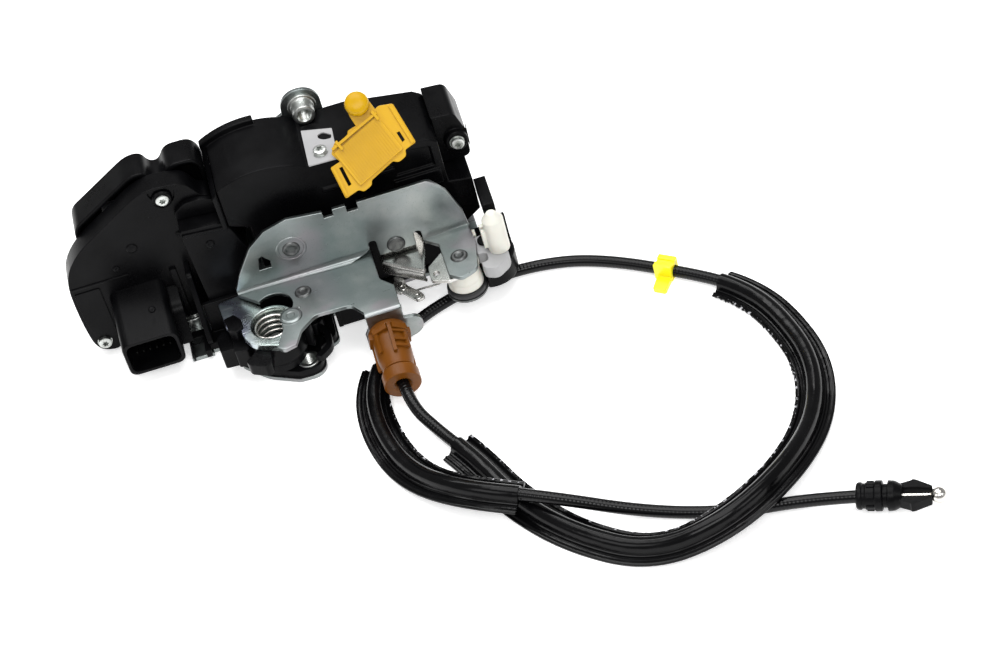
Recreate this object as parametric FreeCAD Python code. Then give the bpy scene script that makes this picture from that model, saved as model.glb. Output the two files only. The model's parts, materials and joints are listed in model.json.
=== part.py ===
import FreeCAD, Part
import math
import os

# Car door latch with lock actuator and release cable.
# Millimetres. X runs along the latch, Y into the door, Z up from the mounting face.
# The origin is the fork bolt's pivot axis on the steel mounting face.

V = FreeCAD.Vector

# Steel frame
steel = 2.0
frame_left = -42.0
frame_right = 104.0
frame_back = 72.0
frame_front_right = 27.0
mouth_x = -25.5
mouth_width = 11.6
mouth_end_y = 17.0
collar_x = 41.5
collar_z = 88.0
collar_r = 5.2
collar_length = 8.0
collar_thread_r = 2.6
lobe_r = 9.0

# Threaded bushes that take the door screws
bush_places = [(11.0, -7.5), (38.0, 44.0), (-36.5, 46.0)]
bush_r = 5.2
bush_height = 6.8
bush_thread_r = 2.6
lobe_margin = 2.2

# Fork bolt
fork_pin_r = 4.0
running_gap = 0.05
part_gap = 0.3
fork_level = 28.0
fork_steel = 3.6
fork_cup_r = 11.4
fork_cup_wall = 1.5
fork_floor_z = 7.4
fork_floor = 2.2
fork_ring_r = 14.4
fork_arm_r = 27.4
fork_hook_r = 25.6
fork_hook_low = 14.0
fork_hub_r = 13.4
seat_angle = 220.0
striker_room = 5.9
tooth_r = 17.4
pin_head = 1.1
spring_r = 8.4
spring_wire = 1.4

# Detent
detent_x = 17.5
detent_y = 10.4
detent_pin_r = 3.0
detent_low = 8.0
detent_thick = 6.0
detent_lift = 9.0
detent_boss_r = 5.0

# Plastic latch body
body_low = steel
body_floor = 4.0
body_top = 28.4
body_wall = 2.2
body_back = 31.7
body_right = 52.0
back_wall_top = 23.8

# Bracket plate: A stands up, B lies flat, the cable holder turns down
plate_top = 31.0
plate = 2.0
plate_face_y = 22.3
plate_left = -11.9
plate_height = 63.0
holder_x = 49.5
holder_tilt = 8.0
holder_fold_y = -17.5
holder_drop = 12.5
holder_r = 10.6
holder_hole_r = 6.2
rivet_a_x = 18.1
rivet_a_z = 47.7
release_x = 64.6
release_z = 32.1
release_pin_r = 2.5
tongue_low = 28.2

# Lever stack on the right-hand tab
lever_x = 90.5
lever_y = 3.1
lever_pin_r = 3.0
lever_thick = 1.8
spacer_r = 8.3
spacer_low = 14.4
ring_r = 9.4
ring_height = 3.2
washer_r = 9.6
washer_thick = 1.2

# Lock lever on its round guide
lock_x = 104.0
lock_y = 11.0
lock_pin_r = 2.5
guide_r = 12.4
guide_low = 10.0
guide_high = 21.0
lock_low = 21.6
lock_thick = 6.4
rod_x = lock_x + 5.5
rod_y = lock_y - 6.8
rod_clip_r = 5.0
rod_clip_height = 22.0

# Main lock housing
main_front = 33.0
main_back = 70.0
main_wall = 2.5
main_low = 4.0
arc_x = 14.0
arc_z = 44.6
arc_r = 44.0
shelf_z = 83.4
tag_screw_x = 44.0
tag_screw_y = 38.0
rim_height = 3.0
rim_depth = 4.0

# Actuator case and cover
cover_front = 43.0
cover_back = 54.0
case_back = 70.0
case_wall = 2.2
pad_front = 32.0

# Connector shroud
plug_left = -70.4
plug_right = -43.6
plug_front = 14.0
plug_low = 7.6
plug_high_front = 27.6
plug_high_root = 36.0
plug_wall = 1.8
plug_depth = 20.0

# Motor, worm and wheel inside the actuator
motor_r = 7.0
motor_left = -60.0
motor_length = 25.0
motor_z = 66.0
motor_y = 59.6
worm_r = 4.0
worm_length = 15.0
wheel_x = -26.0
wheel_root_r = 12.6
wheel_tooth = 1.6
wheel_teeth = 18
wheel_width = 7.0
wheel_pin_r = 3.0
mesh_gap = 0.5

# Yellow rod clip on top of the housing
clip_pivot = (66.0, 46.0, 98.0)
clip_lean = 45.0
clip_turn = 23.3
clip_length = 40.0
clip_width = 20.0
clip_thick = 2.2
clip_offset = (1.0, -20.5)
clip_dome_r = 5.0
clip_pin_r = 2.0

# Cable
cable_r = 2.8
cable_sides = 8
fitting_length = 32.0
fitting_grip = 8.0
fitting_r = 9.6
sleeve_wall = 0.9
sleeve_under = 0.5
sleeve_half_width = 10.0
sleeve_film = 1.0
end_fitting_length = 19.0
end_fitting_r = 6.5
end_grip = 4.0
core_r = 1.0
ball_r = 3.5
core_travel = 12.0

# Screws
screw_r = 3.5
screw_head = 2.6
screw_shank_r = 1.8
screw_length = 12.0


def lift(plane, a, b, level):
    """A point given by two coordinates in the plane square to one axis."""
    if plane == "Z":
        return V(a, b, level)
    if plane == "Y":
        return V(a, level, b)
    return V(level, a, b)


def outline(points, plane="Z", level=0.0):
    """Closed wire through corners (a, b) or (a, b, corner radius)."""
    count = len(points)
    joints = []
    for index, point in enumerate(points):
        here = lift(plane, point[0], point[1], level)
        radius = point[2] if len(point) > 2 else 0.0
        before = points[index - 1]
        after = points[(index + 1) % count]
        back = (lift(plane, before[0], before[1], level) - here).normalize()
        ahead = (lift(plane, after[0], after[1], level) - here).normalize()
        if radius == 0.0:
            joints.append((here, None, here))
            continue
        half = back.getAngle(ahead) / 2.0
        reach = radius / math.tan(half)
        middle = (back + ahead).normalize()
        top = here + middle * (radius / math.sin(half) - radius)
        joints.append((here + back * reach, top, here + ahead * reach))
    edges = []
    for index, (start, top, end) in enumerate(joints):
        if top is not None:
            edges.append(Part.Arc(start, top, end).toShape())
        following = joints[(index + 1) % count][0]
        if end.distanceToPoint(following) > 1e-6:
            side = lift(plane, *points[(index + 1) % count][:2], level) - lift(plane, *points[index][:2], level)
            if side.dot(following - end) < 0:
                raise ValueError("corner radii meet on the side after corner " + str(index) + ": " + str(points))
            edges.append(Part.LineSegment(end, following).toShape())
    return Part.Wire(Part.__sortEdges__(edges))


def slab(points, low, high, plane="Z"):
    """Plate between two levels with the given outline."""
    face = Part.Face(outline(points, plane, low))
    return face.extrude(lift(plane, 0.0, 0.0, high - low))


def hollow(points, low, high, wall, plane="Z"):
    """The space inside an outline set in by the wall."""
    wire = outline(points, plane, low).makeOffset2D(-wall)
    return Part.Face(wire).extrude(lift(plane, 0.0, 0.0, high - low))


def block(x0, x1, y0, y1, z0, z1):
    return Part.makeBox(x1 - x0, y1 - y0, z1 - z0, V(x0, y0, z0))


def disc(x, y, radius, low, high):
    return Part.makeCylinder(radius, high - low, V(x, y, low))


def peg(x, z, radius, front, back):
    """Cylinder along Y."""
    return Part.makeCylinder(radius, back - front, V(x, front, z), V(0, 1, 0))


def stem(y, z, radius, left, right):
    """Cylinder along X."""
    return Part.makeCylinder(radius, right - left, V(left, y, z), V(1, 0, 0))


def turned(profile):
    """Solid of revolution about Z from (radius, height) corners."""
    points = [V(r, 0, z) for r, z in profile]
    face = Part.Face(Part.makePolygon(points + [points[0]]))
    return face.revolve(V(0, 0, 0), V(0, 0, 1), 360)


def polar(radius, degrees):
    angle = math.radians(degrees)
    return radius * math.cos(angle), radius * math.sin(angle)


def sector(radius, first, last, low, high):
    """Pie slice about the origin between two angles."""
    start = polar(radius, first)
    middle = polar(radius, (first + last) / 2.0)
    end = polar(radius, last)
    edges = [
        Part.LineSegment(V(0, 0, low), V(*start, low)).toShape(),
        Part.Arc(V(*start, low), V(*middle, low), V(*end, low)).toShape(),
        Part.LineSegment(V(*end, low), V(0, 0, low)).toShape(),
    ]
    return Part.Face(Part.Wire(edges)).extrude(V(0, 0, high - low))


def moved(shape, base, direction):
    """Carry a shape from the Z axis at the origin to a place and direction."""
    result = shape.copy()
    result.Placement = FreeCAD.Placement(base, FreeCAD.Rotation(V(0, 0, 1), direction))
    return result


# Outlines shared by pieces that seat on each other

bush_lobe_x, bush_lobe_y = bush_places[0]
mouth_left = mouth_x - mouth_width / 2.0
mouth_right = mouth_x + mouth_width / 2.0


def base_points(inset, back):
    """Mounting face outline; the plastic floor repeats it a little smaller."""
    lobe = bush_r + lobe_margin - inset
    return [
        (mouth_right + inset, back),
        (mouth_right + inset, 5.5 + inset, 2.0),
        (-9.0, -6.5 + inset, 20.0),
        (bush_lobe_x - lobe + 1.0, bush_lobe_y - lobe + 0.6, 5.0),
        (bush_lobe_x + lobe, bush_lobe_y - lobe, lobe - 0.1),
        (bush_lobe_x + lobe, bush_lobe_y + lobe - 0.4, 3.0),
        (frame_front_right - inset, 4.0, 4.0),
        (frame_front_right - inset, back),
    ]


case_points = [
    (-76.0, 22.0), (-16.0, 22.0), (-9.0, 30.0), (-9.0, 84.0), (-13.0, 89.0, 3.0),
    (-24.0, 89.5, 3.0), (-28.0, 83.0), (-33.0, 84.0), (-36.0, 89.5, 3.0), (-42.5, 89.5, 3.0),
    (-75.0, 69.5), (-76.5, 54.0),
]

cover_points = [
    (-84.5, 3.0, 8.0), (-72.0, 0.8), (-70.4, 7.8), (-34.0, 7.8), (-27.5, 12.0),
    (-12.5, 17.0), (1.0, 42.0, 7.0), (-5.0, 60.0), (-9.5, 75.0), (-14.0, 76.5),
    (-19.0, 85.5), (-33.0, 88.5, 10.0), (-43.0, 86.0, 6.0), (-78.0, 62.0, 4.0), (-86.0, 51.0, 5.0),
]


def main_wire(level, inset):
    """Lock housing outline: straight sides with the big arc on top at the left."""
    start_x = -6.2 + inset
    radius = arc_r - inset
    start = (start_x, arc_z + math.sqrt(radius ** 2 - (start_x - arc_x) ** 2))
    end_x = 36.5 - inset
    end = (end_x, arc_z + math.sqrt(radius ** 2 - (end_x - arc_x) ** 2))
    arc = Part.Arc(
        V(end[0], level, end[1]), V(arc_x, level, arc_z + radius), V(start[0], level, start[1]))
    corners = [
        (start_x, 62.0 + inset), (3.2 + inset, 58.0 + inset), (3.2 + inset, main_low + inset),
        (100.0 - inset, main_low + inset), (100.0 - inset, 24.0 + inset), (107.0 - inset, 29.0 + inset),
        (107.0 - inset, 48.0 - inset), (96.0 - inset, 50.0 - inset), (96.0 - inset, 74.5 - inset),
        (92.0 - inset, 77.5 - inset), (60.0, shelf_z - inset), (38.0 - inset, shelf_z - inset), end,
    ]
    points = [V(start[0], level, start[1])] + [V(x, level, z) for x, z in corners]
    edges = [arc.toShape()]
    for first, second in zip(points, points[1:]):
        edges.append(Part.LineSegment(first, second).toShape())
    return Part.Wire(Part.__sortEdges__(edges))


# Steel frame and what is fixed in it

def frame_plate():
    base = slab(base_points(0.0, mouth_end_y + 20.0), 0.0, steel)
    rear = slab([(frame_left, 26.0), (mouth_left, 26.0), (mouth_left, 20.0), (frame_left, 20.0)], 0.0, steel)
    floor = slab([
        (frame_left, 22.0), (mouth_left, 22.0), (mouth_left, 30.0), (mouth_right, 30.0),
        (frame_front_right, 26.0), (60.0, 30.0, 4.0), (frame_right, 30.0, 6.0), (frame_right, frame_back),
        (frame_left, frame_back, 4.0)], 0.0, steel)
    flange = slab([
        (-14.0, 0.0), (frame_right, 0.0), (frame_right, 40.0), (94.0, 66.0), (58.0, 76.0),
        (collar_x + lobe_r, 80.0), (collar_x + lobe_r, collar_z + lobe_r, lobe_r - 0.1),
        (collar_x - lobe_r, collar_z + lobe_r, lobe_r - 0.1), (collar_x - lobe_r - 1.0, 86.0),
        (20.0, 80.0), (-6.0, 70.0)], main_back, main_back + steel, "Y")
    mouth = slab([
        (mouth_left, -30.0), (mouth_right, -30.0), (mouth_right, mouth_end_y, mouth_width / 2.0 - 0.1),
        (mouth_left, mouth_end_y, mouth_width / 2.0 - 0.1)], -1.0, steel + 1.0)
    web = slab([(frame_front_right, 22.0), (60.0, 30.0), (frame_right, 30.0), (frame_right, 40.0),
                (mouth_left, 40.0), (mouth_left, 22.0)], 0.0, steel)
    plate_solid = base.fuse([rear, floor, flange, web]).removeSplitter()
    plate_solid = plate_solid.cut(mouth)
    for x, y in bush_places:
        plate_solid = plate_solid.cut(disc(x, y, bush_r - 1.0, -1.0, steel + 1.0))
    for x, y, radius in ((0.0, 0.0, fork_pin_r - 0.5), (detent_x, detent_y, detent_pin_r - 0.5)):
        plate_solid = plate_solid.cut(disc(x, y, radius, -1.0, steel + 1.0))
    return plate_solid.cut(peg(collar_x, collar_z, collar_r - 1.0, main_back - 1.0, main_back + steel + 1.0))


def frame_bush(x, y):
    """Threaded bush staked in the mounting plate."""
    body = disc(x, y, bush_r, steel, bush_height)
    spigot = disc(x, y, bush_r - 1.0, 0.0, steel)
    hole = disc(x, y, bush_thread_r, -1.0, bush_height + 1.0)
    return body.fuse(spigot).cut(hole)


def flange_collar():
    body = peg(collar_x, collar_z, collar_r, main_back - collar_length, main_back)
    spigot = peg(collar_x, collar_z, collar_r - 1.0, main_back, main_back + steel)
    hole = peg(collar_x, collar_z, collar_thread_r, main_back - collar_length - 1.0, main_back + steel + 1.0)
    return body.fuse(spigot).cut(hole)


def fork_pivot():
    head_z = fork_floor_z + fork_floor + part_gap
    pin = disc(0.0, 0.0, fork_pin_r, steel, head_z)
    foot = disc(0.0, 0.0, fork_pin_r - 0.5, 0.0, steel)
    head = disc(0.0, 0.0, spring_r, head_z, head_z + pin_head)
    post = disc(0.0, 0.0, fork_pin_r - 0.5, head_z, head_z + 9.0)
    return pin.fuse([foot, head, post])


def detent_pivot():
    foot = disc(detent_x, detent_y, detent_pin_r - 0.5, 0.0, steel)
    pin = disc(detent_x, detent_y, detent_pin_r, steel, plate_top - plate)
    neck = disc(detent_x, detent_y, detent_pin_r - 0.5, plate_top - plate, plate_top)
    head = disc(detent_x, detent_y, detent_pin_r + 1.0, plate_top, plate_top + 0.9)
    return pin.fuse([foot, neck, head])


# Plastic latch body

def latch_body():
    body_floor_top = body_low + body_floor
    floor = slab(base_points(0.8, body_back), body_low, body_floor_top)
    left_foot = block(frame_left + 0.8, mouth_left - 0.8, 18.0, 34.0, body_low, body_floor_top)
    notch = block(-40.2, -34.8, 10.0, 29.0, 0.0, 12.0)
    bridge = block(mouth_left - 1.0, mouth_right + 1.0, 22.0, body_back, body_low, body_floor_top)
    back = block(-29.6, 30.0, body_back - body_wall, body_back, body_low, back_wall_top)
    right = block(28.2, 28.2 + body_wall, -3.0, body_back, body_low, body_top)
    pod = block(28.2, body_right, 12.0, body_back, body_low, body_top)
    pocket = block(30.6, body_right - body_wall, 14.2, body_back - body_wall, body_low + 2.0, body_top + 1.0)
    shell = floor.fuse([left_foot, bridge, back, right, pod.cut(pocket)]).removeSplitter()
    mouth = slab([
        (mouth_left - 0.8, -30.0), (mouth_right + 0.8, -30.0), (mouth_right + 0.8, mouth_end_y + 0.8, 5.0),
        (mouth_left - 0.8, mouth_end_y + 0.8, 5.0)], 0.0, body_floor_top + 1.0)
    shell = shell.cut([notch, mouth])
    x, y = bush_places[0]
    holes = [disc(x, y, bush_r + 0.1, 0.0, 12.0), disc(0.0, 0.0, fork_pin_r + 1.0, 0.0, 12.0),
             disc(detent_x, detent_y, detent_pin_r + 0.1, 0.0, 12.0)]
    return shell.cut(holes)


def ajar_switch():
    """Small switch in the pocket, with its spring plunger towards the detent."""
    body = block(31.2, 49.2, 15.0, 27.0, body_low + 2.0, 18.0)
    plunger = stem(21.0, 13.0, 1.4, 30.75, 31.2)
    pins = [block(x, x + 1.0, 20.0, 22.0, 18.0, 23.0) for x in (35.0, 40.0, 45.0)]
    return body.fuse([plunger] + pins)


# Fork bolt: steel claw with a drawn cup for its spring, and a plastic jacket

def fork_bolt():
    cup_in = fork_cup_r - fork_cup_wall
    low = fork_level - fork_steel
    cup = turned([
        (fork_pin_r + running_gap, fork_floor_z), (fork_cup_r, fork_floor_z), (fork_cup_r, fork_level),
        (cup_in, fork_level), (cup_in, fork_floor_z + fork_floor), (fork_pin_r + running_gap, fork_floor_z + fork_floor)])
    ring = sector(fork_ring_r, 105.0, 282.0, low, fork_level)
    tab = slab([(-4.5, 14.5), (-10.5, 24.6, 1.5), (-22.3, 22.8, 1.5), (-20.8, 6.0, 1.5), (-13.0, 4.0)],
               low, fork_level)
    tip = slab([(-4.0, -10.5), (2.6, -11.0, 1.0), (1.6, -16.4, 1.2), (-4.0, -13.8)], low, fork_level)
    claw = ring.fuse([tab, tip]).cut(disc(0.0, 0.0, cup_in, low - 1.0, fork_level + 1.0))
    return claw.fuse(cup).removeSplitter()


def seat_cut():
    """The slot that takes the striker, open outwards along the seat angle."""
    slot = slab([(19.6, -striker_room, striker_room - 0.1), (40.0, -striker_room), (40.0, striker_room),
                 (19.6, striker_room, striker_room - 0.1)], 0.0, 40.0)
    slot.rotate(V(0, 0, 0), V(0, 0, 1), seat_angle)
    return slot


def fork_jacket():
    low = fork_floor_z
    high = fork_level - fork_steel
    hub = disc(0.0, 0.0, fork_hub_r, low, high)
    arm = sector(fork_arm_r, 152.0, 208.0, low, high)
    hook = sector(fork_hook_r, 232.0, 256.0, fork_hook_low, high)
    tooth = sector(tooth_r, 336.0, 350.0, low, high)
    body = hub.fuse([arm, hook, tooth]).cut(seat_cut())
    web = slab([(-22.0, 13.5), (-15.0, 20.0), (-9.0, 20.0), (-9.0, 6.0), (-20.0, 6.0)], 16.0, high)
    body = body.fuse(web)
    pockets = [block(-19.5, -14.5, 1.5, 4.3, 19.0, high + 1.0), block(-23.5, -19.5, 4.5, 10.5, 17.0, high + 1.0)]
    cup_room = disc(0.0, 0.0, fork_cup_r, low - 1.0, high + 1.0)
    return body.cut(pockets + [cup_room]).removeSplitter()


def detent():
    """Pawl in the engaged place, turned out to where it rides while the latch is open."""
    high = detent_low + detent_thick
    boss = disc(detent_x, detent_y, detent_boss_r, detent_low, high)
    arm = slab([
        (detent_x - 1.5, detent_y - 3.0), (detent_x + 4.9, detent_y - 0.5), (25.2, -1.0, 4.0), (22.6, -11.5, 3.0),
        (13.4, -15.6, 1.0), (10.6, -11.9, 0.8), (18.6, -7.2, 2.0), (20.2, -0.5, 4.0)], detent_low, high)
    pawl = boss.fuse(arm).cut(disc(detent_x, detent_y, detent_pin_r + running_gap, detent_low - 1.0, high + 1.0))
    pawl.rotate(V(detent_x, detent_y, 0), V(0, 0, 1), detent_lift)
    return pawl.removeSplitter()


# Bracket plate and its levers

def holder_frame(shape):
    """Carry a shape from the flat holder to its leaning place under the fold."""
    leaned = shape.copy()
    leaned.rotate(V(0, holder_fold_y, plate_top - plate), V(1, 0, 0), holder_tilt)
    return leaned


def holder_centre():
    angle = math.radians(holder_tilt)
    drop = V(0, math.sin(angle), -math.cos(angle)) * holder_drop
    return V(holder_x, holder_fold_y, plate_top - plate) + drop


def fitting_direction():
    angle = math.radians(holder_tilt)
    return V(0, -math.cos(angle), -math.sin(angle))


def bracket_plate():
    low = plate_top - plate
    face_back = plate_face_y + plate
    upright = slab([
        (plate_left, low), (plate_left, 33.0), (-7.9, 42.0), (0.0, 55.0, 6.0), (8.5, 62.0),
        (20.0, 65.2), (36.6, plate_height), (36.6, plate_height - 3.6), (41.2, plate_height - 3.6),
        (41.2, plate_height), (47.6, plate_height), (47.6, plate_height - 4.0), (52.8, plate_height - 4.0),
        (52.8, plate_height), (87.0, plate_height, 4.0), (93.4, 54.5), (98.4, 40.0), (99.4, low),
        (77.2, low), (77.2, 36.0, 1.7), (73.6, 36.0, 1.7), (73.6, tongue_low), (56.0, tongue_low),
        (56.0, 38.0, 1.7), (52.4, 38.0, 1.7), (52.4, low)], plate_face_y, face_back, "Y")
    window = slab([(1.2, 40.6), (7.0, 40.6), (7.4, 44.4), (4.2, 48.4), (2.4, 47.6)],
                  plate_face_y - 1.0, face_back + 1.0, "Y")
    flat = slab([
        (plate_left, face_back), (plate_left, 21.5), (-2.5, 11.8), (4.4, -3.0), (4.4, -10.0),
        (0.2, -20.4), (3.0, -23.2, 2.0), (8.8, -21.6), (12.3, -13.7), (20.0, -6.8, 6.0),
        (37.0, -7.2, 5.0), (41.5, -14.5), (41.5, holder_fold_y), (58.5, holder_fold_y), (58.3, -2.5),
        (52.8, 4.0, 4.0), (52.4, face_back)], low, plate_top)
    keyhole = disc(3.0, 6.5, 8.8, low - 1.0, plate_top + 1.0)
    flat = flat.cut(keyhole)
    dimple = disc(9.4, -3.0, 5.2, plate_top, plate_top + 0.7)
    tab = slab([
        (77.2, face_back), (77.2, 21.0), (83.2, 15.0), (83.6, -7.0), (88.6, -11.4, 3.0),
        (97.0, -8.0, 5.0), (99.8, 9.0), (99.4, face_back)], low, plate_top)
    right = holder_x + 7.5
    holder = slab([
        (41.5, low + 1.0), (41.5, low - 8.0), (39.4, low - 12.0), (39.4, low - 22.0),
        (right, low - 22.2, 8.0), (right + 9.5, low - 19.0, 7.0), (right + 9.0, low - 8.2, 5.0),
        (58.5, low - 7.0), (58.5, low + 1.0)], holder_fold_y, holder_fold_y + plate, "Y")
    bore = peg(holder_x, low - holder_drop, holder_hole_r, holder_fold_y - 5.0, holder_fold_y + 5.0)
    holder = holder_frame(holder.cut(bore))
    whole = upright.cut(window).fuse([flat, dimple, tab, holder]).removeSplitter()
    holes = [
        peg(rivet_a_x, rivet_a_z, 3.0, plate_face_y - 1.0, face_back + 1.0),
        peg(release_x, release_z, release_pin_r, plate_face_y - 1.0, face_back + 1.0),
        disc(detent_x, detent_y, detent_pin_r - 0.5, low - 1.0, plate_top + 1.0),
        disc(lever_x, lever_y, lever_pin_r - 0.5, low - 1.0, plate_top + 1.0),
    ]
    return whole.cut(holes)


def bracket_rivet():
    """Holds the upright plate to the lock housing."""
    face_back = plate_face_y + plate
    shank = peg(rivet_a_x, rivet_a_z, 3.0, plate_face_y, face_back)
    spacer = peg(rivet_a_x, rivet_a_z, 5.0, face_back, main_front)
    head = peg(rivet_a_x, rivet_a_z, 4.1, plate_face_y - 0.9, plate_face_y)
    return shank.fuse([spacer, head])


def release_pivot():
    face_back = plate_face_y + plate
    shank = peg(release_x, release_z, release_pin_r, plate_face_y, main_front)
    head = peg(release_x, release_z, release_pin_r + 1.9, plate_face_y - 0.9, plate_face_y)
    step = peg(release_x, release_z, release_pin_r + 1.6, face_back + lever_thick + 2 * part_gap, main_front)
    return shank.fuse([head, step])


def release_lever():
    """Channel lever behind the tongue, with its web coming forward under it."""
    face = plate_face_y + plate + part_gap
    ear = slab([
        (56.5, 23.0), (78.6, 23.0), (75.0, 34.0, 4.0), (release_x + 2.0, 40.5, 4.0),
        (release_x - 5.0, 38.5, 4.0)], face, face + lever_thick, "Y")
    web_high = 26.2
    web_low = web_high - lever_thick
    web = slab([
        (56.5, face + lever_thick), (78.6, face + lever_thick), (77.0, 14.0), (70.4, 9.0), (73.4, 1.0),
        (66.0, 2.0), (58.6, 13.0)], web_low, web_high)
    ear = ear.common(block(50.0, 90.0, 0.0, 60.0, web_low, 60.0))
    skirt = slab([(59.2, 13.0), (66.5, 2.3), (67.8, 3.2), (60.5, 13.9)], 16.0, web_low + 0.5)
    lip = slab([(67.0, 2.2), (73.0, 1.4), (73.0, 3.0), (67.0, 3.8)], 20.5, web_low + 0.5)
    tongue = slab([(58.2, 14.2), (57.4, 6.0, 2.0), (67.4, -4.0, 2.4), (70.8, -1.2, 1.6), (61.6, 14.4)], 15.0, 16.6)
    small_holes = [disc(x, y, 1.2, 10.0, 20.0) for x, y in ((67.4, -1.0), (61.0, 6.6))]
    lever = ear.fuse([web, skirt, lip, tongue.cut(small_holes)]).removeSplitter()
    return lever.cut(peg(release_x, release_z, release_pin_r + running_gap, face - 1.0, face + lever_thick + 1.0))


def lever_pin():
    low = spacer_low - ring_height - washer_thick - 0.4
    shank = disc(lever_x, lever_y, lever_pin_r, low, plate_top - plate)
    neck = disc(lever_x, lever_y, lever_pin_r - 0.5, plate_top - plate, plate_top)
    head = disc(lever_x, lever_y, lever_pin_r + 1.1, plate_top, plate_top + 1.0)
    foot = disc(lever_x, lever_y, lever_pin_r + 1.6, low - 0.9, low)
    return shank.fuse([neck, head, foot])


inside_high = plate_top - plate - part_gap
inside_low = inside_high - lever_thick


def lever_spacer():
    """Cream plastic bush that keeps the lever up against the tab."""
    high = inside_low - 0.1
    body = turned([(lever_pin_r, spacer_low), (spacer_r, spacer_low), (spacer_r - 0.8, high), (lever_pin_r, high)])
    return moved(body, V(lever_x, lever_y, 0), V(0, 0, 1))


def bumper_ring():
    middle = ring_height / 2.0
    profile = [(lever_pin_r, 0.0), (ring_r - 0.5, 0.0), (ring_r, middle), (ring_r - 0.5, ring_height),
               (lever_pin_r, ring_height)]
    return moved(turned(profile), V(lever_x, lever_y, spacer_low - ring_height), V(0, 0, 1))


def pin_washer():
    low = spacer_low - ring_height - washer_thick
    ring = disc(lever_x, lever_y, washer_r, low, low + washer_thick)
    return ring.cut(disc(lever_x, lever_y, lever_pin_r, low - 1.0, low + 3.0))


def inside_lever():
    plate_shape = slab([
        (75.4, 4.4, 2.0), (75.0, -5.2, 2.0), (83.0, -8.4, 3.0), (lever_x + 4.0, -6.6, 5.0),
        (lever_x + 8.4, lever_y + 1.0, 5.0), (lever_x + 3.0, 14.6, 4.0), (84.6, 13.0, 4.0)],
        inside_low, inside_high)
    eye = disc(78.4, -1.2, 1.4, inside_low - 1.0, inside_high + 1.0)
    bore = disc(lever_x, lever_y, lever_pin_r + running_gap, inside_low - 1.0, inside_high + 1.0)
    return plate_shape.cut([eye, bore])


# Lock lever, its round guide and the white rod clip

def lock_guide():
    """Black round guide on an arm from the lock housing."""
    rim = disc(lock_x, lock_y, guide_r, guide_low, guide_high)
    groove = disc(lock_x, lock_y, guide_r - 2.2, guide_high - 3.0, guide_high + 1.0)
    hub = disc(lock_x, lock_y, lock_pin_r + 2.5, guide_high - 4.0, guide_high + 0.3)
    pin = disc(lock_x, lock_y, lock_pin_r, guide_high, lock_low + lock_thick + 1.0)
    cap = disc(lock_x, lock_y, lock_pin_r + 1.0, lock_low + lock_thick + part_gap, lock_low + lock_thick + 1.4)
    arm = block(lock_x - 6.0, lock_x + 3.0, lock_y + 6.0, main_front, guide_low, guide_high - 3.0)
    strap_low = lock_y + 4.0
    strap_high = lock_y + 7.0
    strap = slab([
        (lock_x + 10.0, 17.0), (lock_x + 12.4, 17.0), (lock_x + 8.5, 37.5), (lock_x + 5.0, 39.0),
        (lock_x + 5.0, 35.5)], strap_low, strap_high, "Y")
    post = block(lock_x + 3.3, lock_x + 9.0, strap_high, 38.0, 34.0, 43.0)
    guide = rim.fuse(arm).cut(groove)
    guide = guide.cut(disc(lever_x, lever_y, washer_r + 0.6, 0.0, 40.0))
    riser = block(lock_x + 8.0, lock_x + 12.0, strap_low, strap_high, guide_low + 2.0, 36.0)
    return guide.fuse([hub, pin, cap, strap, riser, post]).removeSplitter()


def lock_lever():
    top = lock_low + lock_thick
    swing = slab([
        (lock_x - 6.4, lock_y + 5.0, 4.0), (lock_x - 5.2, lock_y - 4.0, 3.0), (lock_x - 4.4, lock_y - 17.0, 3.0),
        (lock_x + 1.0, lock_y - 20.0, 4.0), (rod_x + 3.5, rod_y - 7.2, 6.0), (lock_x + 7.4, lock_y + 5.0, 5.0)],
        lock_low, top)
    bay = slab([
        (lock_x - 6.0, lock_y - 7.0), (lock_x - 6.0, lock_y - 13.0), (lock_x - 1.0, lock_y - 13.0, 2.0),
        (lock_x - 1.0, lock_y - 7.0, 2.0)], lock_low - 1.0, top + 1.0)
    bore = disc(lock_x, lock_y, lock_pin_r + running_gap, lock_low - 1.0, top + 1.0)
    seat = disc(rod_x, rod_y, 1.6, lock_low - 1.0, top + 1.0)
    return swing.cut([bay, bore, seat])


def lock_link():
    """Pale plastic slider in the lock lever's short arm."""
    top = lock_low + lock_thick
    body = block(lock_x - 7.6, lock_x - 3.0, lock_y + 5.3, lock_y + 9.6, lock_low + 1.0, top + 0.6)
    return body.cut(disc(lock_x - 5.2, lock_y + 7.4, 1.0, lock_low, top + 3.0))


def rod_clip_white():
    """Snap-in clip for the lock rod, standing on the lock lever."""
    low = lock_low + lock_thick
    foot = disc(rod_x, rod_y, 1.6, lock_low + 1.0, low)
    drum = turned([(0.0, 0.0), (rod_clip_r, 0.0), (rod_clip_r, rod_clip_height - 4.0),
                   (rod_clip_r - 3.0, rod_clip_height), (0.0, rod_clip_height)])
    drum = moved(drum, V(rod_x, rod_y, low), V(0, 0, 1))
    wing = block(rod_x - 6.6, rod_x, rod_y - 1.6, rod_y + 4.6, low + 3.0, low + 13.0)
    slit = block(rod_x - 8.0, rod_x + 1.0, rod_y + 0.6, rod_y + 2.2, low + 5.0, low + 15.0)
    return drum.fuse([foot, wing]).cut(slit)


# Main lock housing and the pieces on it

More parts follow.
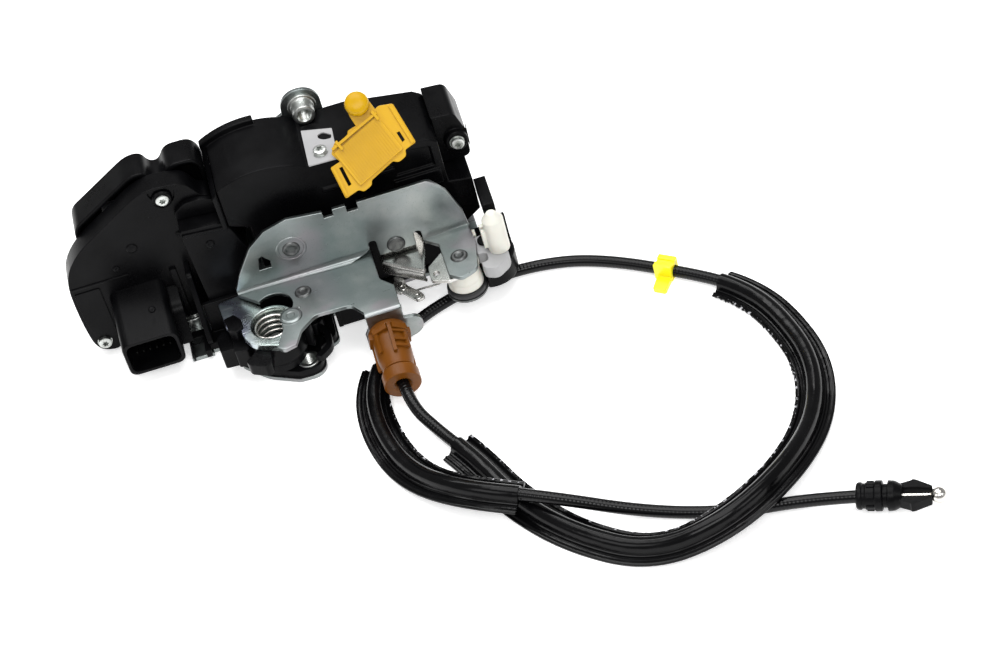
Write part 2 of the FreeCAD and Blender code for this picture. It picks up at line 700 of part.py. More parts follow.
def main_housing():
    outer = Part.Face(main_wire(main_front, 0.0)).extrude(V(0, main_back - main_front, 0))
    inner_face = Part.Face(main_wire(main_front + main_wall, main_wall))
    inner = inner_face.extrude(V(0, main_back - main_front, 0))
    ring_out = peg(arc_x, arc_z, arc_r + rim_height, main_back - rim_depth, main_back)
    ring_in = peg(arc_x, arc_z, arc_r - 1.0, main_back - rim_depth - 1.0, main_back + 1.0)
    window = block(-8.8, 18.2, 0.0, 100.0, 78.0, 100.0)
    rim = ring_out.cut(ring_in).common(window)
    side_rib = slab([(-8.8, 62.0), (-6.3, 62.0), (-6.3, 84.0), (-8.8, 81.6)], main_front - 2.0, main_back, "Y")
    pedestal = block(62.0, 70.0, 42.0, 50.0, shelf_z - 3.0, 91.0)
    pedestal = pedestal.cut(block(50.0, 80.0, 30.0, 41.0, 70.0, 95.0))
    ledges = [block(40.0, 92.0, main_front - 1.0, main_front, 66.0, 68.0),
              block(72.0, 94.0, main_front - 1.6, main_front, 52.0, 60.0)]
    body = outer.cut(inner).fuse([rim, side_rib, pedestal] + ledges).removeSplitter()
    collar_room = peg(collar_x, collar_z, collar_r + 0.8, main_back - collar_length - 1.0, main_back + 1.0)
    recess = slab([(74.0, 62.0), (92.0, 62.0), (92.0, 73.0), (74.0, 76.0)], main_front - 2.0, main_front + 1.4, "Y")
    pivot_hole = moved(Part.makeCylinder(clip_pin_r, 12.0, V(0, 0, -14.0)), V(*clip_pivot), clip_normal())
    x, y = bush_places[1]
    bush_room = disc(x, y, bush_r + 0.3, 0.0, bush_height + 0.3)
    screw_hole = disc(tag_screw_x, tag_screw_y, screw_shank_r, shelf_z - screw_length - 1.0, shelf_z + 1.0)
    return body.cut([collar_room, recess, pivot_hole, bush_room, screw_hole])


def end_cover():
    """Stepped end cap with its round screw boss."""
    corners = [(96.0, 50.6), (110.0, 50.6, 3.0), (110.4, 66.0), (107.0, 77.0, 4.0), (96.0, 78.0)]
    body = slab(corners, 46.0, main_back - 0.3, "Y")
    boss = peg(105.0, 63.0, 5.4, 43.0, 46.0)
    room = hollow(corners, 48.2, main_back, case_wall, "Y")
    return body.cut(room).fuse(boss).cut(peg(105.0, 63.0, screw_shank_r, 42.0, 60.0))


def tag_plate():
    shape = slab([(37.6, 33.4), (51.6, 33.4), (52.2, 56.6), (38.6, 58.0)], shelf_z, shelf_z + 0.8)
    drop = slab([(44.2, 49.0), (47.4, 46.8), (50.2, 49.6), (46.8, 52.0)], shelf_z - 1.0, shelf_z + 2.0)
    return shape.cut([drop, disc(tag_screw_x, tag_screw_y, 2.1, shelf_z - 1.0, shelf_z + 2.0)])


def pan_head():
    """Pan head with its shank pointing down from the origin."""
    head = Part.makeCone(screw_r, screw_r - 0.8, screw_head)
    shank = Part.makeCylinder(screw_shank_r, screw_length, V(0, 0, -screw_length))
    return head.fuse(shank)


screw_places = {
    "cover_screw_upper": (V(-31.0, cover_front + 1.2, 80.2), V(0, -1, 0)),
    "cover_screw_lower": (V(-79.8, cover_front, 8.6), V(0, -1, 0)),
    "end_cover_screw": (V(105.0, 43.0, 63.0), V(0, -1, 0)),
    "tag_screw": (V(tag_screw_x, tag_screw_y, shelf_z + 0.8), V(0, 0, 1)),
}


# Actuator case, cover and connector

def actuator_case():
    skirt = slab(cover_points, cover_back, cover_back + 3.0, "Y")
    body = slab(case_points, cover_back, case_back, "Y")
    room = hollow(case_points, cover_back - 1.0, case_back - case_wall, case_wall, "Y")
    post = peg(wheel_x, wheel_z(), wheel_pin_r, 50.0, case_back - 1.0)
    collar = peg(wheel_x, wheel_z(), wheel_pin_r + 2.0, motor_y + wheel_width / 2.0 + part_gap, case_back - 1.0)
    cradles = []
    for x in (motor_left + 3.0, motor_left + motor_length - 6.0):
        saddle = block(x, x + 3.0, motor_y, case_back - 1.0, motor_z - motor_r - 2.0, motor_z + motor_r + 2.0)
        cradles.append(saddle.cut(stem(motor_y, motor_z, motor_r, x - 1.0, x + 4.0)))
    case = skirt.fuse(body).cut(room).fuse([post, collar] + cradles).removeSplitter()
    clear = block(-9.1, 20.0, cover_back - 1.0, case_back + 1.0, 0.0, 100.0)
    case = case.cut(clear)
    holes = [peg(-31.0, 80.2, screw_shank_r, 50.0, 58.0), peg(-79.8, 8.6, screw_shank_r, 50.0, 58.0)]
    return case.cut(holes)


def actuator_cover():
    body = slab(cover_points, cover_front, cover_back, "Y")
    room = hollow(cover_points, cover_front + case_wall, cover_back + 1.0, case_wall, "Y")
    pad_points = [(-26.0, 20.0), (-13.0, 20.0), (0.8, 43.0, 7.0), (-5.4, 61.0), (-8.0, 66.0), (-28.0, 68.0)]
    pad = slab(pad_points, pad_front, cover_front, "Y")
    pad_room = hollow(pad_points, pad_front + case_wall, cover_front + 3.0, case_wall, "Y")
    ledge = block(-27.0, -7.6, pad_front - 0.8, pad_front, 64.0, 66.0)
    recess = slab([(-38.0, 86.0), (-24.5, 85.6), (-24.5, 77.4), (-29.0, 74.4), (-35.0, 75.6)],
                  cover_front - 1.0, cover_front + 1.2, "Y")
    seat = peg(-31.0, 80.2, screw_shank_r + 2.4, cover_front + 1.2, cover_back)
    low_seat = peg(-79.8, 8.6, screw_shank_r + 2.4, cover_front, cover_back)
    nubs = [peg(-52.0, 58.0, 2.6, cover_front - 1.0, cover_front), peg(-16.5, 56.5, 2.0, pad_front - 0.9, pad_front)]
    seam = block(-85.0, -58.0, cover_front - 0.7, cover_front, 43.0, 44.2)
    shroud_side = [(cover_front, plug_low), (cover_front, plug_high_root), (plug_front, plug_high_front),
                   (plug_front, plug_low)]
    shroud = slab(shroud_side, plug_left, plug_right, "X")
    mid_z = (plug_low + plug_high_front) / 2.0
    half = (plug_high_front - plug_low) / 2.0 - plug_wall
    opening = slab([
        (plug_left + plug_wall, mid_z - half, 4.0), (plug_right - plug_wall, mid_z - half, 4.0),
        (plug_right - plug_wall, mid_z + half, 4.0), (plug_left + plug_wall, mid_z + half, 4.0)],
        plug_front - 1.0, plug_front + plug_depth, "Y")
    dot = Part.makeCylinder(1.6, 2.0, V(-52.0, 29.0, 31.2), V(0, -0.29, 0.96))
    wedge = slab([(cover_front, 40.0), (cover_front, 12.0), (20.0, 8.0), (20.0, 10.0), (34.0, 40.0)],
                 -32.5, -30.0, "X")
    shell = body.cut(room).cut(recess)
    shell = shell.cut(pad)
    solid = shell.fuse([pad.cut(pad_room), ledge, seat, low_seat, shroud, dot, wedge, seam] + nubs)
    solid = solid.cut([opening, pad_room])
    holes = [peg(-31.0, 80.2, screw_shank_r, 40.0, 60.0), peg(-79.8, 8.6, screw_shank_r, 40.0, 60.0)]
    solid = solid.cut(holes)
    beside = [block(1.2, 20.0, 0.0, 100.0, 0.0, 100.0), block(-9.1, 20.0, 0.0, 100.0, 57.6, 100.0)]
    return solid.cut(beside).removeSplitter()


def connector_terminals():
    """Two rows of blades standing in the shroud, fixed in its back wall."""
    mid_z = (plug_low + plug_high_front) / 2.0
    step = 3.2
    first = (plug_left + plug_right) / 2.0 - 2.5 * step
    blades = []
    for row in (-2.6, 2.6):
        for index in range(6):
            x = first + index * step
            blades.append(block(x - 0.35, x + 0.35, plug_front + 7.0, plug_front + plug_depth,
                                mid_z + row - 0.6, mid_z + row + 0.6))
    return Part.makeCompound(blades)


# Motor, worm and wheel

def wheel_z():
    return motor_z - worm_r - mesh_gap - wheel_root_r - wheel_tooth


def lock_motor():
    body = stem(motor_y, motor_z, motor_r, motor_left, motor_left + motor_length)
    nose = stem(motor_y, motor_z, 3.0, motor_left + motor_length, motor_left + motor_length + 2.0)
    tail = stem(motor_y, motor_z, 2.5, motor_left - 1.5, motor_left)
    return body.fuse([nose, tail])


def motor_worm():
    start = motor_left + motor_length + 2.0 + part_gap
    core = stem(motor_y, motor_z, worm_r - 1.2, start, start + worm_length + 2.0)
    rings = [stem(motor_y, motor_z, worm_r, start + 2.0 + 4.5 * n, start + 4.0 + 4.5 * n) for n in range(3)]
    return core.fuse(rings)


def lock_wheel():
    """Toothed wheel with the crank pin that works the lock."""
    front = motor_y - wheel_width / 2.0
    back = motor_y + wheel_width / 2.0
    z0 = wheel_z()
    body = peg(wheel_x, z0, wheel_root_r, front, back)
    teeth = []
    for index in range(wheel_teeth):
        tooth = slab([(-1.3, wheel_root_r - 0.6), (1.3, wheel_root_r - 0.6), (0.7, wheel_root_r + wheel_tooth),
                      (-0.7, wheel_root_r + wheel_tooth)], front, back, "Y")
        tooth.rotate(V(0, 0, 0), V(0, 1, 0), 360.0 * index / wheel_teeth)
        tooth.translate(V(wheel_x, 0, z0))
        teeth.append(tooth)
    crank = peg(wheel_x, z0 - 8.0, 2.0, front - 4.0, front)
    hub = peg(wheel_x, z0, wheel_pin_r + 2.2, front - 1.5, front)
    bore = peg(wheel_x, z0, wheel_pin_r + running_gap, front - 5.0, back + 5.0)
    return body.fuse(teeth + [crank, hub]).cut(bore).removeSplitter()


# Yellow rod clip

def clip_normal():
    angle = math.radians(clip_lean)
    return V(0, -math.sin(angle), math.cos(angle))


def clip_frame(shape):
    """Carry a shape drawn flat at the origin to the leaning plane at the clip's pivot."""
    placed = shape.copy()
    placed.rotate(V(0, 0, 0), V(1, 0, 0), clip_lean)
    placed.translate(V(*clip_pivot))
    return placed


def rod_clip():
    half_l = clip_length / 2.0
    half_w = clip_width / 2.0
    plate_shape = slab([
        (-half_l, -half_w, 1.5), (half_l, -half_w, 1.5), (half_l, -2.0), (half_l + 1.4, 0.0),
        (half_l + 1.0, half_w, 1.5), (-half_l - 1.0, half_w - 1.0, 1.5)], 0.0, clip_thick)
    slots = [block(half_l - 4.4, half_l - 3.0, -6.0, 5.0, -1.0, 5.0),
             block(-half_l + 3.2, -half_l + 4.6, -7.0, 3.0, -1.0, 5.0)]
    frame = block(-half_l + 7.0, half_l - 7.0, -half_w + 2.4, half_w - 4.0, clip_thick, clip_thick + 0.8)
    flat = plate_shape.cut(slots).fuse(frame)
    flat.rotate(V(0, 0, 0), V(0, 0, 1), clip_turn)
    flat.translate(V(clip_offset[0], clip_offset[1], 0.0))
    neck = slab([(-6.5, 3.0, 3.0), (6.0, 3.0, 3.0), (9.0, -14.0), (-9.0, -16.0)], 0.0, clip_thick)
    dome = turned([(0.0, clip_thick - 0.2), (clip_dome_r, clip_thick - 0.2), (clip_dome_r, clip_thick + 3.0),
                   (clip_dome_r - 2.0, clip_thick + 5.8), (0.0, clip_thick + 5.8)])
    pin = Part.makeCylinder(clip_pin_r - running_gap, 9.0, V(0, 0, -9.0))
    return clip_frame(flat.fuse([neck, dome, pin]).removeSplitter())


# Springs: plain many-sided coils, seen in the open latch

def facet_bar(stations):
    """Closed bar with flat faces through a row of four-cornered sections."""
    faces = [Part.Face(Part.makePolygon(list(stations[0]) + [stations[0][0]]))]
    for first, second in zip(stations, stations[1:]):
        for index in range(4):
            following = (index + 1) % 4
            a, b, c, d = first[index], first[following], second[following], second[index]
            faces.append(Part.Face(Part.makePolygon([a, b, c, a])))
            faces.append(Part.Face(Part.makePolygon([a, c, d, a])))
    faces.append(Part.Face(Part.makePolygon(list(stations[-1]) + [stations[-1][0]])))
    solid = Part.Solid(Part.makeShell(faces))
    if solid.Volume < 0:
        solid.reverse()
    return solid


def square_section(centre, across, up, wire):
    half = wire / 2.0
    return [centre + across * a + up * b for a, b in ((-half, -half), (half, -half), (half, half), (-half, half))]


def coil(radius, wire, low, high, turns, sides=12):
    """Square-wire coil about Z through the corners of a many-sided helix."""
    count = turns * sides
    stations = []
    for index in range(count + 1):
        angle = 2.0 * math.pi * index / sides
        across = V(math.cos(angle), math.sin(angle), 0)
        height = low + (high - low) * index / count
        stations.append(square_section(across * radius + V(0, 0, height), across, V(0, 0, 1), wire))
    return facet_bar(stations)


def fork_spring():
    """Stands on the fork pivot's head, inside the drawn cup."""
    low = fork_floor_z + fork_floor + part_gap + pin_head + spring_wire / 2.0
    return coil(spring_r, spring_wire, low, fork_level - 1.6, 4)


def link_wire():
    """Thin wire hooked in the release lever's tongue, drawn by the inside lever."""
    points = [V(66.8, -1.6, 17.1), V(73.0, -5.6, 18.5), V(79.6, -4.2, 23.6)]
    return facet_bar([square_section(point, V(0, 1, 0), V(0, 0, 1), 1.0) for point in points])


# Cable: fitting, sheath, sleeves, clip and snap-in end

def fitting_end():
    return holder_centre() + fitting_direction() * fitting_length


def cable_fitting():
    """Orange-brown end fitting that snaps into the holder plate."""
    back = -plate - 2.5
    grip_start = fitting_length - fitting_grip
    body = turned([
        (core_r + 0.3, back), (5.4, back), (holder_hole_r - 0.1, 0.0), (9.2, 0.0), (9.2, 4.0), (fitting_r, 8.0),
        (fitting_r, 17.5), (6.9, 23.0), (6.9, 25.0), (8.6, 26.0), (8.6, fitting_length),
        (cable_r + 0.3, fitting_length), (cable_r + 0.3, grip_start), (core_r + 0.3, grip_start)])
    cuts = []
    for angle in (20.0, 90.0, 160.0, 270.0):
        pocket = block(-2.2, 2.2, fitting_r - 1.8, fitting_r + 2.0, 8.5, 17.0)
        pocket.rotate(V(0, 0, 0), V(0, 0, 1), angle)
        cuts.append(pocket)
    for angle in (0.0, 60.0, 120.0, 180.0, 240.0, 300.0):
        notch = block(-1.7, 1.7, 7.0, 12.0, 2.0, 5.0)
        notch.rotate(V(0, 0, 0), V(0, 0, 1), angle)
        cuts.append(notch)
    return moved(body.cut(cuts), holder_centre(), fitting_direction())


end_fitting_z = 6.9
end_direction = V(0.93, -0.367, 0.0).normalize()
end_start = V(217.0, -183.0, end_fitting_z)

# Sheath route from the fitting round the loop to the snap-in end
route = [
    fitting_end() - fitting_direction() * fitting_grip,
    fitting_end() + fitting_direction() * 11.0,
    V(59.5, -75.0, 4.3),
    V(70.8, -95.5, 3.4),
    V(82.0, -126.0, 3.4),
    V(101.0, -156.5, 3.4),
    V(129.0, -180.5, 3.4),
    V(161.0, -183.5, 11.6),
    V(196.0, -162.5, 11.6),
    V(219.5, -130.0, 3.4),
    V(229.0, -97.0, 3.4),
    V(222.5, -62.0, 3.4),
    V(210.5, -41.5, 3.4),
    V(192.5, -25.5, 3.4),
    V(152.0, 5.0, 2.8),
    V(122.0, 13.5, 2.8),
    V(93.0, 11.5, 2.8),
    V(66.0, 2.0, 2.8),
    V(45.0, -13.0, 3.4),
    V(31.0, -35.0, 3.4),
    V(28.5, -62.0, 3.4),
    V(37.5, -92.0, 3.4),
    V(59.0, -119.5, 12.6),
    V(95.0, -137.5, 12.0),
    V(134.0, -154.5, 2.8),
    V(168.0, -168.5, 2.8),
    end_start - end_direction * 20.0 - V(0, 0, 1.6),
    end_start + end_direction * end_grip,
]

# The yellow clip sits this far along the run from this route point
clip_run = 13
clip_share = 0.31

# Each sleeve: route point and share of the run where it starts, then where it ends
sleeve_stretches = {
    "cable_sleeve_near": (18, 0.5, 22, 0.62),
    "cable_sleeve_far": (2, 0.5, 12, 0.5),
}


def bend_radii(points):
    """Largest arcs that the runs allow at each inner corner."""
    radii = [0.0]
    for before, here, after in zip(points, points[1:], points[2:]):
        turn = (here - before).getAngle(after - here)
        shorter = min(here.distanceToPoint(before), after.distanceToPoint(here))
        radii.append(0.45 * shorter / math.tan(turn / 2.0))
    radii.append(0.0)
    return radii


def path_wire(points, radii):
    """Straight runs joined by tangent arcs."""
    edges = []
    last = points[0]
    for index in range(1, len(points) - 1):
        here = points[index]
        back = (points[index - 1] - here).normalize()
        ahead = (points[index + 1] - here).normalize()
        half = back.getAngle(ahead) / 2.0
        reach = radii[index] / math.tan(half)
        start = here + back * reach
        end = here + ahead * reach
        top = here + (back + ahead).normalize() * (radii[index] / math.sin(half) - radii[index])
        edges.append(Part.LineSegment(last, start).toShape())
        edges.append(Part.Arc(start, top, end).toShape())
        last = end
    edges.append(Part.LineSegment(last, points[-1]).toShape())
    return Part.Wire(edges)


def swept(path, sections, start, ahead):
    """Sweep flat sections drawn as (across, up) corners, kept level along the path."""
    up = V(0, 0, 1)
    side = ahead.cross(up).normalize()
    solids = []
    for section in sections:
        corners = [start + side * a + up * b for a, b in section]
        maker = Part.BRepOffsetAPI.MakePipeShell(path)
        maker.setBiNormalMode(V(0, 0, 1))
        maker.add(Part.makePolygon(corners + [corners[0]]))
        maker.build()
        maker.makeSolid()
        solids.append(maker.shape())
    return solids


def ring_section(radius, sides):
    return [polar(radius, 360.0 * (n + 0.5) / sides) for n in range(sides)]


def cable_sheath():
    radii = bend_radii(route)
    path = path_wire(route, radii)
    print("cable length", round(path.Length, 1), "radii", [round(r) for r in radii[1:-1]])
    tube = swept(path, [ring_section(cable_r, cable_sides)], route[0], route[1] - route[0])[0]
    area = cable_sides / 2.0 * math.sin(2.0 * math.pi / cable_sides) * cable_r ** 2
    print("cable volume ratio", round(tube.Volume / (path.Length * area), 4))
    return tube


def cable_sleeve(first, first_share, last, last_share):
    """Film sleeve: a round channel on the cable between two flat fins."""
    radii = bend_radii(route)
    start = route[first] + (route[first + 1] - route[first]) * first_share
    end = route[last] + (route[last + 1] - route[last]) * last_share
    points = [start] + route[first + 1:last + 1] + [end]
    path = path_wire(points, [0.0] + radii[first + 1:last + 1] + [0.0])
    outer = cable_r + sleeve_wall
    low = -cable_r - sleeve_under
    waist = outer * math.cos(math.pi / 4.0)
    section = [
        (-sleeve_half_width, low), (sleeve_half_width, low), (sleeve_half_width, low + sleeve_film),
        (waist, low + sleeve_film), (outer, 0.0), (waist, waist), (0.0, outer), (-waist, waist), (-outer, 0.0),
        (-waist, low + sleeve_film), (-sleeve_half_width, low + sleeve_film)]
    skin, space = swept(path, [section, ring_section(cable_r, cable_sides)], start, points[1] - start)
    return skin.cut(space)


def cable_clip():
    """Yellow clip on the bare cable, with a short tail."""
    before, after = route[clip_run], route[clip_run + 1]
    here = before + (after - before) * clip_share
    ahead = (after - before).normalize()
    heading = math.degrees(math.atan2(ahead.y, ahead.x))
    floor = 0.1 - here.z
    clip = block(-4.4, 4.4, -4.0, 4.0, floor, 5.4)
    tail = slab([(-4.0, 4.0), (-4.4, 12.4, 1.0), (2.0, 12.4, 1.0), (3.0, 4.0)], floor, floor + 2.4)
    groove = block(-5.0, 5.0, -1.2, 1.2, 4.4, 6.0)
    clip = clip.fuse(tail).cut(groove)
    clip.rotate(V(0, 0, 0), V(0, 0, 1), heading)
    tunnel = Part.makeCylinder(cable_r, 30.0, ahead * -15.0, ahead)
    clip = clip.cut(tunnel)
    clip.translate(here)
    return clip


def cable_end_fitting():
    """Black snap-in end with two barbs round the core's ball."""
    tube_room = cable_r + 0.4
    body = turned([
        (tube_room, 0.0), (5.8, 0.0), (5.8, 8.0), (end_fitting_r, 8.0), (end_fitting_r, 11.0), (5.0, 11.0),
        (5.0, 13.0), (end_fitting_r, 13.0), (end_fitting_r, 16.0), (4.6, end_fitting_length),
        (core_r + 0.3, end_fitting_length), (core_r + 0.3, end_grip), (tube_room, end_grip)])
    barbs = []
    for angle in (0.0, 180.0):
        barb = slab([(2.6, 18.0), (4.4, 18.0), (5.6, 24.0), (6.4, 24.0), (3.4, 31.0), (2.6, 31.0)], -2.2, 2.2, "Y")
        barb.rotate(V(0, 0, 0), V(0, 0, 1), angle)
        barbs.append(barb)
    return moved(body.fuse(barbs), end_start, end_direction)


def cable_core():
    """Inner cable's end: a thin rod with a steel ball."""
    rod = Part.makeCylinder(core_r, 28.0, V(0, 0, 6.0))
    rows = [polar(ball_r, angle) for angle in (-60.0, -20.0, 20.0, 60.0)]
    ball = turned([(0.0, -ball_r)] + rows + [(0.0, ball_r)])
    ball.translate(V(0, 0, 34.0))
    return moved(rod.fuse(ball), end_start, end_direction)


def write(name, shape):
    if not shape.isValid():
        shape.fix(0.01, 0.01, 0.01)
    print(name, "valid" if shape.isValid() else "NOT VALID", len(shape.Solids), round(shape.Volume))
    shape.exportStep("parts/" + name + ".step")


os.makedirs("parts", exist_ok=True)

pieces = {
    "frame_plate": frame_plate(),
    "flange_collar": flange_collar(),
    "fork_pivot": fork_pivot(),
    "detent_pivot": detent_pivot(),
    "latch_body": latch_body(),
    "ajar_switch": ajar_switch(),
    "fork_bolt": fork_bolt(),
    "fork_jacket": fork_jacket(),
    "detent": detent(),
    "bracket_plate": bracket_plate(),
    "bracket_rivet": bracket_rivet(),
    "release_pivot": release_pivot(),
    "release_lever": release_lever(),
    "lever_pin": lever_pin(),
    "lever_spacer": lever_spacer(),
    "bumper_ring": bumper_ring(),
    "pin_washer": pin_washer(),
    "inside_lever": inside_lever(),
    "lock_guide": lock_guide(),
    "lock_lever": lock_lever(),
    "lock_link": lock_link(),
    "rod_clip_white": rod_clip_white(),
    "main_housing": main_housing(),
    "end_cover": end_cover(),
    "tag_plate": tag_plate(),
    "actuator_case": actuator_case(),
    "actuator_cover": actuator_cover(),
    "connector_terminals": connector_terminals(),
    "lock_motor": lock_motor(),
    "motor_worm": motor_worm(),
    "lock_wheel": lock_wheel(),
    "rod_clip": rod_clip(),
    "fork_spring": fork_spring(),
    "link_wire": link_wire(),
    "cable_fitting": cable_fitting(),
    "cable_sheath": cable_sheath(),
    "cable_clip": cable_clip(),
    "cable_end_fitting": cable_end_fitting(),
    "cable_core": cable_core(),
}
for number, (bush_x, bush_y) in enumerate(bush_places, 1):
    pieces["frame_bush_" + str(number)] = frame_bush(bush_x, bush_y)
for screw_name, (place, direction) in screw_places.items():
    pieces[screw_name] = moved(pan_head(), place, direction)
for sleeve_name, stretch in sleeve_stretches.items():
    pieces[sleeve_name] = cable_sleeve(*stretch)

for piece_name, piece_shape in pieces.items():
    write(piece_name, piece_shape)
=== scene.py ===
import json
from math import cos, pi, radians, sin

import bmesh
import bpy
from mathutils import Matrix, Vector, noise


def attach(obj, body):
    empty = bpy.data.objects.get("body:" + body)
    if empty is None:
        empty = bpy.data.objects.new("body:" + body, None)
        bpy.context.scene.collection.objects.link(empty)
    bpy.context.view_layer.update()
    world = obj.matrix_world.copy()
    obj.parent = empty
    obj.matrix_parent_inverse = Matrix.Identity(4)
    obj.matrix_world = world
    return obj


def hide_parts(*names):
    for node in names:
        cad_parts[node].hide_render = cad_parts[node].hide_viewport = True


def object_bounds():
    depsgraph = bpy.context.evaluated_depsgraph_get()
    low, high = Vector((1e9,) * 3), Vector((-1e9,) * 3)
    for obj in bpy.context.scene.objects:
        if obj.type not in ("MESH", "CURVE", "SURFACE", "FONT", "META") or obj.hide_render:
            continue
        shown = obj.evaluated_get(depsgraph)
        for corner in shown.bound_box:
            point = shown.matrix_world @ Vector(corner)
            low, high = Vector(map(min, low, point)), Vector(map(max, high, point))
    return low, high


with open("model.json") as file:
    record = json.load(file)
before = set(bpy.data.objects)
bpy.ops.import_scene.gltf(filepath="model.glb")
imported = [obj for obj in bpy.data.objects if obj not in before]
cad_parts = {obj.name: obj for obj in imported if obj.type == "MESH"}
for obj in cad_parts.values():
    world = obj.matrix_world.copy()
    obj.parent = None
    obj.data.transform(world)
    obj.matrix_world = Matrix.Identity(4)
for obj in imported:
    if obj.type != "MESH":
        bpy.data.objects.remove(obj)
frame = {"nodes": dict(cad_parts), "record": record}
cad_low, cad_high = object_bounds()
scene = bpy.context.scene
MM = 0.001
UP = (0.0, 0.0, 1.0)
FRONT = (0.0, -1.0, 0.0)

# Places that several pieces share, in millimetres
PLATE_TOP = 31.0
PLATE_FRONT = 22.3
DETENT_PIN = (17.5, 10.4)
LEVER_PIN = (90.5, 3.1)
COVER_FRONT = 43.0

# Camera: the photograph's view, worked out from the latch's straight edges

CAMERA_AIM = Vector((98.49, -15.44, -5.42)) * MM
CAMERA_AZIMUTH = radians(-2.0)
CAMERA_ELEVATION = radians(44.0)
CAMERA_ROLL = radians(15.5)
CAMERA_DISTANCE = 1.25
CAMERA_LENS = 97.63


def new_object(name, data):
    made = bpy.data.objects.new(name, data)
    scene.collection.objects.link(made)
    return made


def add_camera():
    """Camera that sees the latch as the photograph does, rolled about its own line of sight."""
    back = Vector((
        sin(CAMERA_AZIMUTH) * cos(CAMERA_ELEVATION),
        -cos(CAMERA_AZIMUTH) * cos(CAMERA_ELEVATION),
        sin(CAMERA_ELEVATION),
    ))
    level = Vector((cos(CAMERA_AZIMUTH), sin(CAMERA_AZIMUTH), 0.0))
    upright = back.cross(level)
    right = level * cos(CAMERA_ROLL) - upright * sin(CAMERA_ROLL)
    up = level * sin(CAMERA_ROLL) + upright * cos(CAMERA_ROLL)
    data = bpy.data.cameras.new("camera")
    data.lens = CAMERA_LENS
    camera = new_object("camera", data)
    camera.matrix_world = Matrix.Translation(CAMERA_AIM + back * CAMERA_DISTANCE) @ Matrix(
        (right, up, back)).transposed().to_4x4()
    scene.camera = camera


add_camera()


# Shader maths: numbers that carry their nodes along

class Number:
    """A shader value. Python's operators on it add Math nodes."""

    def __init__(self, finish, socket):
        self.finish = finish
        self.socket = socket

    def math(self, operation, first, second=0.0):
        return self.finish.node("ShaderNodeMath", {"operation": operation}, {0: first, 1: second})

    def __add__(self, other):
        return self.math("ADD", self, other)

    def __radd__(self, other):
        return self.math("ADD", other, self)

    def __sub__(self, other):
        return self.math("SUBTRACT", self, other)

    def __rsub__(self, other):
        return self.math("SUBTRACT", other, self)

    def __mul__(self, other):
        return self.math("MULTIPLY", self, other)

    def __rmul__(self, other):
        return self.math("MULTIPLY", other, self)

    def sine(self):
        return self.math("SINE", self)

    def between(self, low, high):
        """0 below low, 1 above high, smooth between."""
        return self.finish.node(
            "ShaderNodeMapRange", {"interpolation_type": "SMOOTHSTEP"},
            {"Value": self, "From Min": low, "From Max": high})


class Finish:
    """One material. Its nodes all come from node()."""

    def __init__(self, name):
        self.material = bpy.data.materials.new(name)
        self.material.use_nodes = True
        self.tree = self.material.node_tree
        self.shader = self.tree.nodes["Principled BSDF"]
        self.place = self.node("ShaderNodeTexCoord", out="Object")

    def node(self, kind, settings=None, sockets=None, out=0):
        made = self.tree.nodes.new(kind)
        for name, value in (settings or {}).items():
            setattr(made, name, value)
        for name, value in (sockets or {}).items():
            self.feed(made.inputs[name], value)
        return Number(self, made.outputs[out])

    def feed(self, socket, value):
        if isinstance(value, Number):
            self.tree.links.new(value.socket, socket)
        elif isinstance(value, tuple) and len(value) == 3 and socket.type == "RGBA":
            socket.default_value = (*value, 1.0)
        else:
            socket.default_value = value

    def set(self, **values):
        for name, value in values.items():
            self.feed(self.shader.inputs[name.replace("_", " ").title().replace("Ior", "IOR")], value)
        return self

    def noise(self, scale, detail=2.0, stretch=(1.0, 1.0, 1.0), roughness=0.5):
        """Cloudy pattern; scale is in waves per metre."""
        place = self.node("ShaderNodeMapping", {}, {"Vector": self.place, "Scale": stretch})
        return self.node("ShaderNodeTexNoise", {}, {
            "Vector": place, "Scale": scale, "Detail": detail, "Roughness": roughness})

    def mix(self, share, first, second):
        return self.node(
            "ShaderNodeMix", {"data_type": "RGBA"}, {0: share, 6: first, 7: second}, out=2)

    def bump(self, height, depth):
        """Relief of the given depth in metres."""
        self.feed(self.shader.inputs["Normal"], self.node(
            "ShaderNodeBump", {}, {"Strength": 1.0, "Distance": depth, "Height": height}))
        return self

    def around_and_along(self):
        """The piece's own UV map: a share of the way around, and metres along."""
        uv = self.node("ShaderNodeUVMap")
        return (self.node("ShaderNodeSeparateXYZ", {}, {"Vector": uv}, out="X"),
                self.node("ShaderNodeSeparateXYZ", {}, {"Vector": uv}, out="Y"))


MOULD_GRAIN = 0.02 * MM


def moulded(name, colour, roughness, shift=0.35, bleed=0.0, shine=0.5):
    """Moulded plastic: fine spark-eroded grain, faint flow marks and a few dull scuffs."""
    finish = Finish(name)
    clouds = finish.noise(45.0, 3.0)
    fine = finish.noise(2600.0, 1.0)
    scuffs = finish.noise(260.0, 3.0, stretch=(1.0, 0.25, 1.0)).between(0.6, 0.72)
    light = tuple(min(1.0, c * (1.0 + shift) + 0.003 * shift) for c in colour)
    tone = finish.mix(clouds.between(0.35, 0.7), colour, light)
    finish.set(base_color=tone, roughness=clouds * 0.16 + fine * 0.08 + scuffs * 0.08 + (roughness - 0.12),
               specular_ior_level=shine)
    if bleed:
        finish.set(subsurface_weight=bleed, subsurface_scale=2.0 * MM)
    return finish.bump(fine, MOULD_GRAIN).material


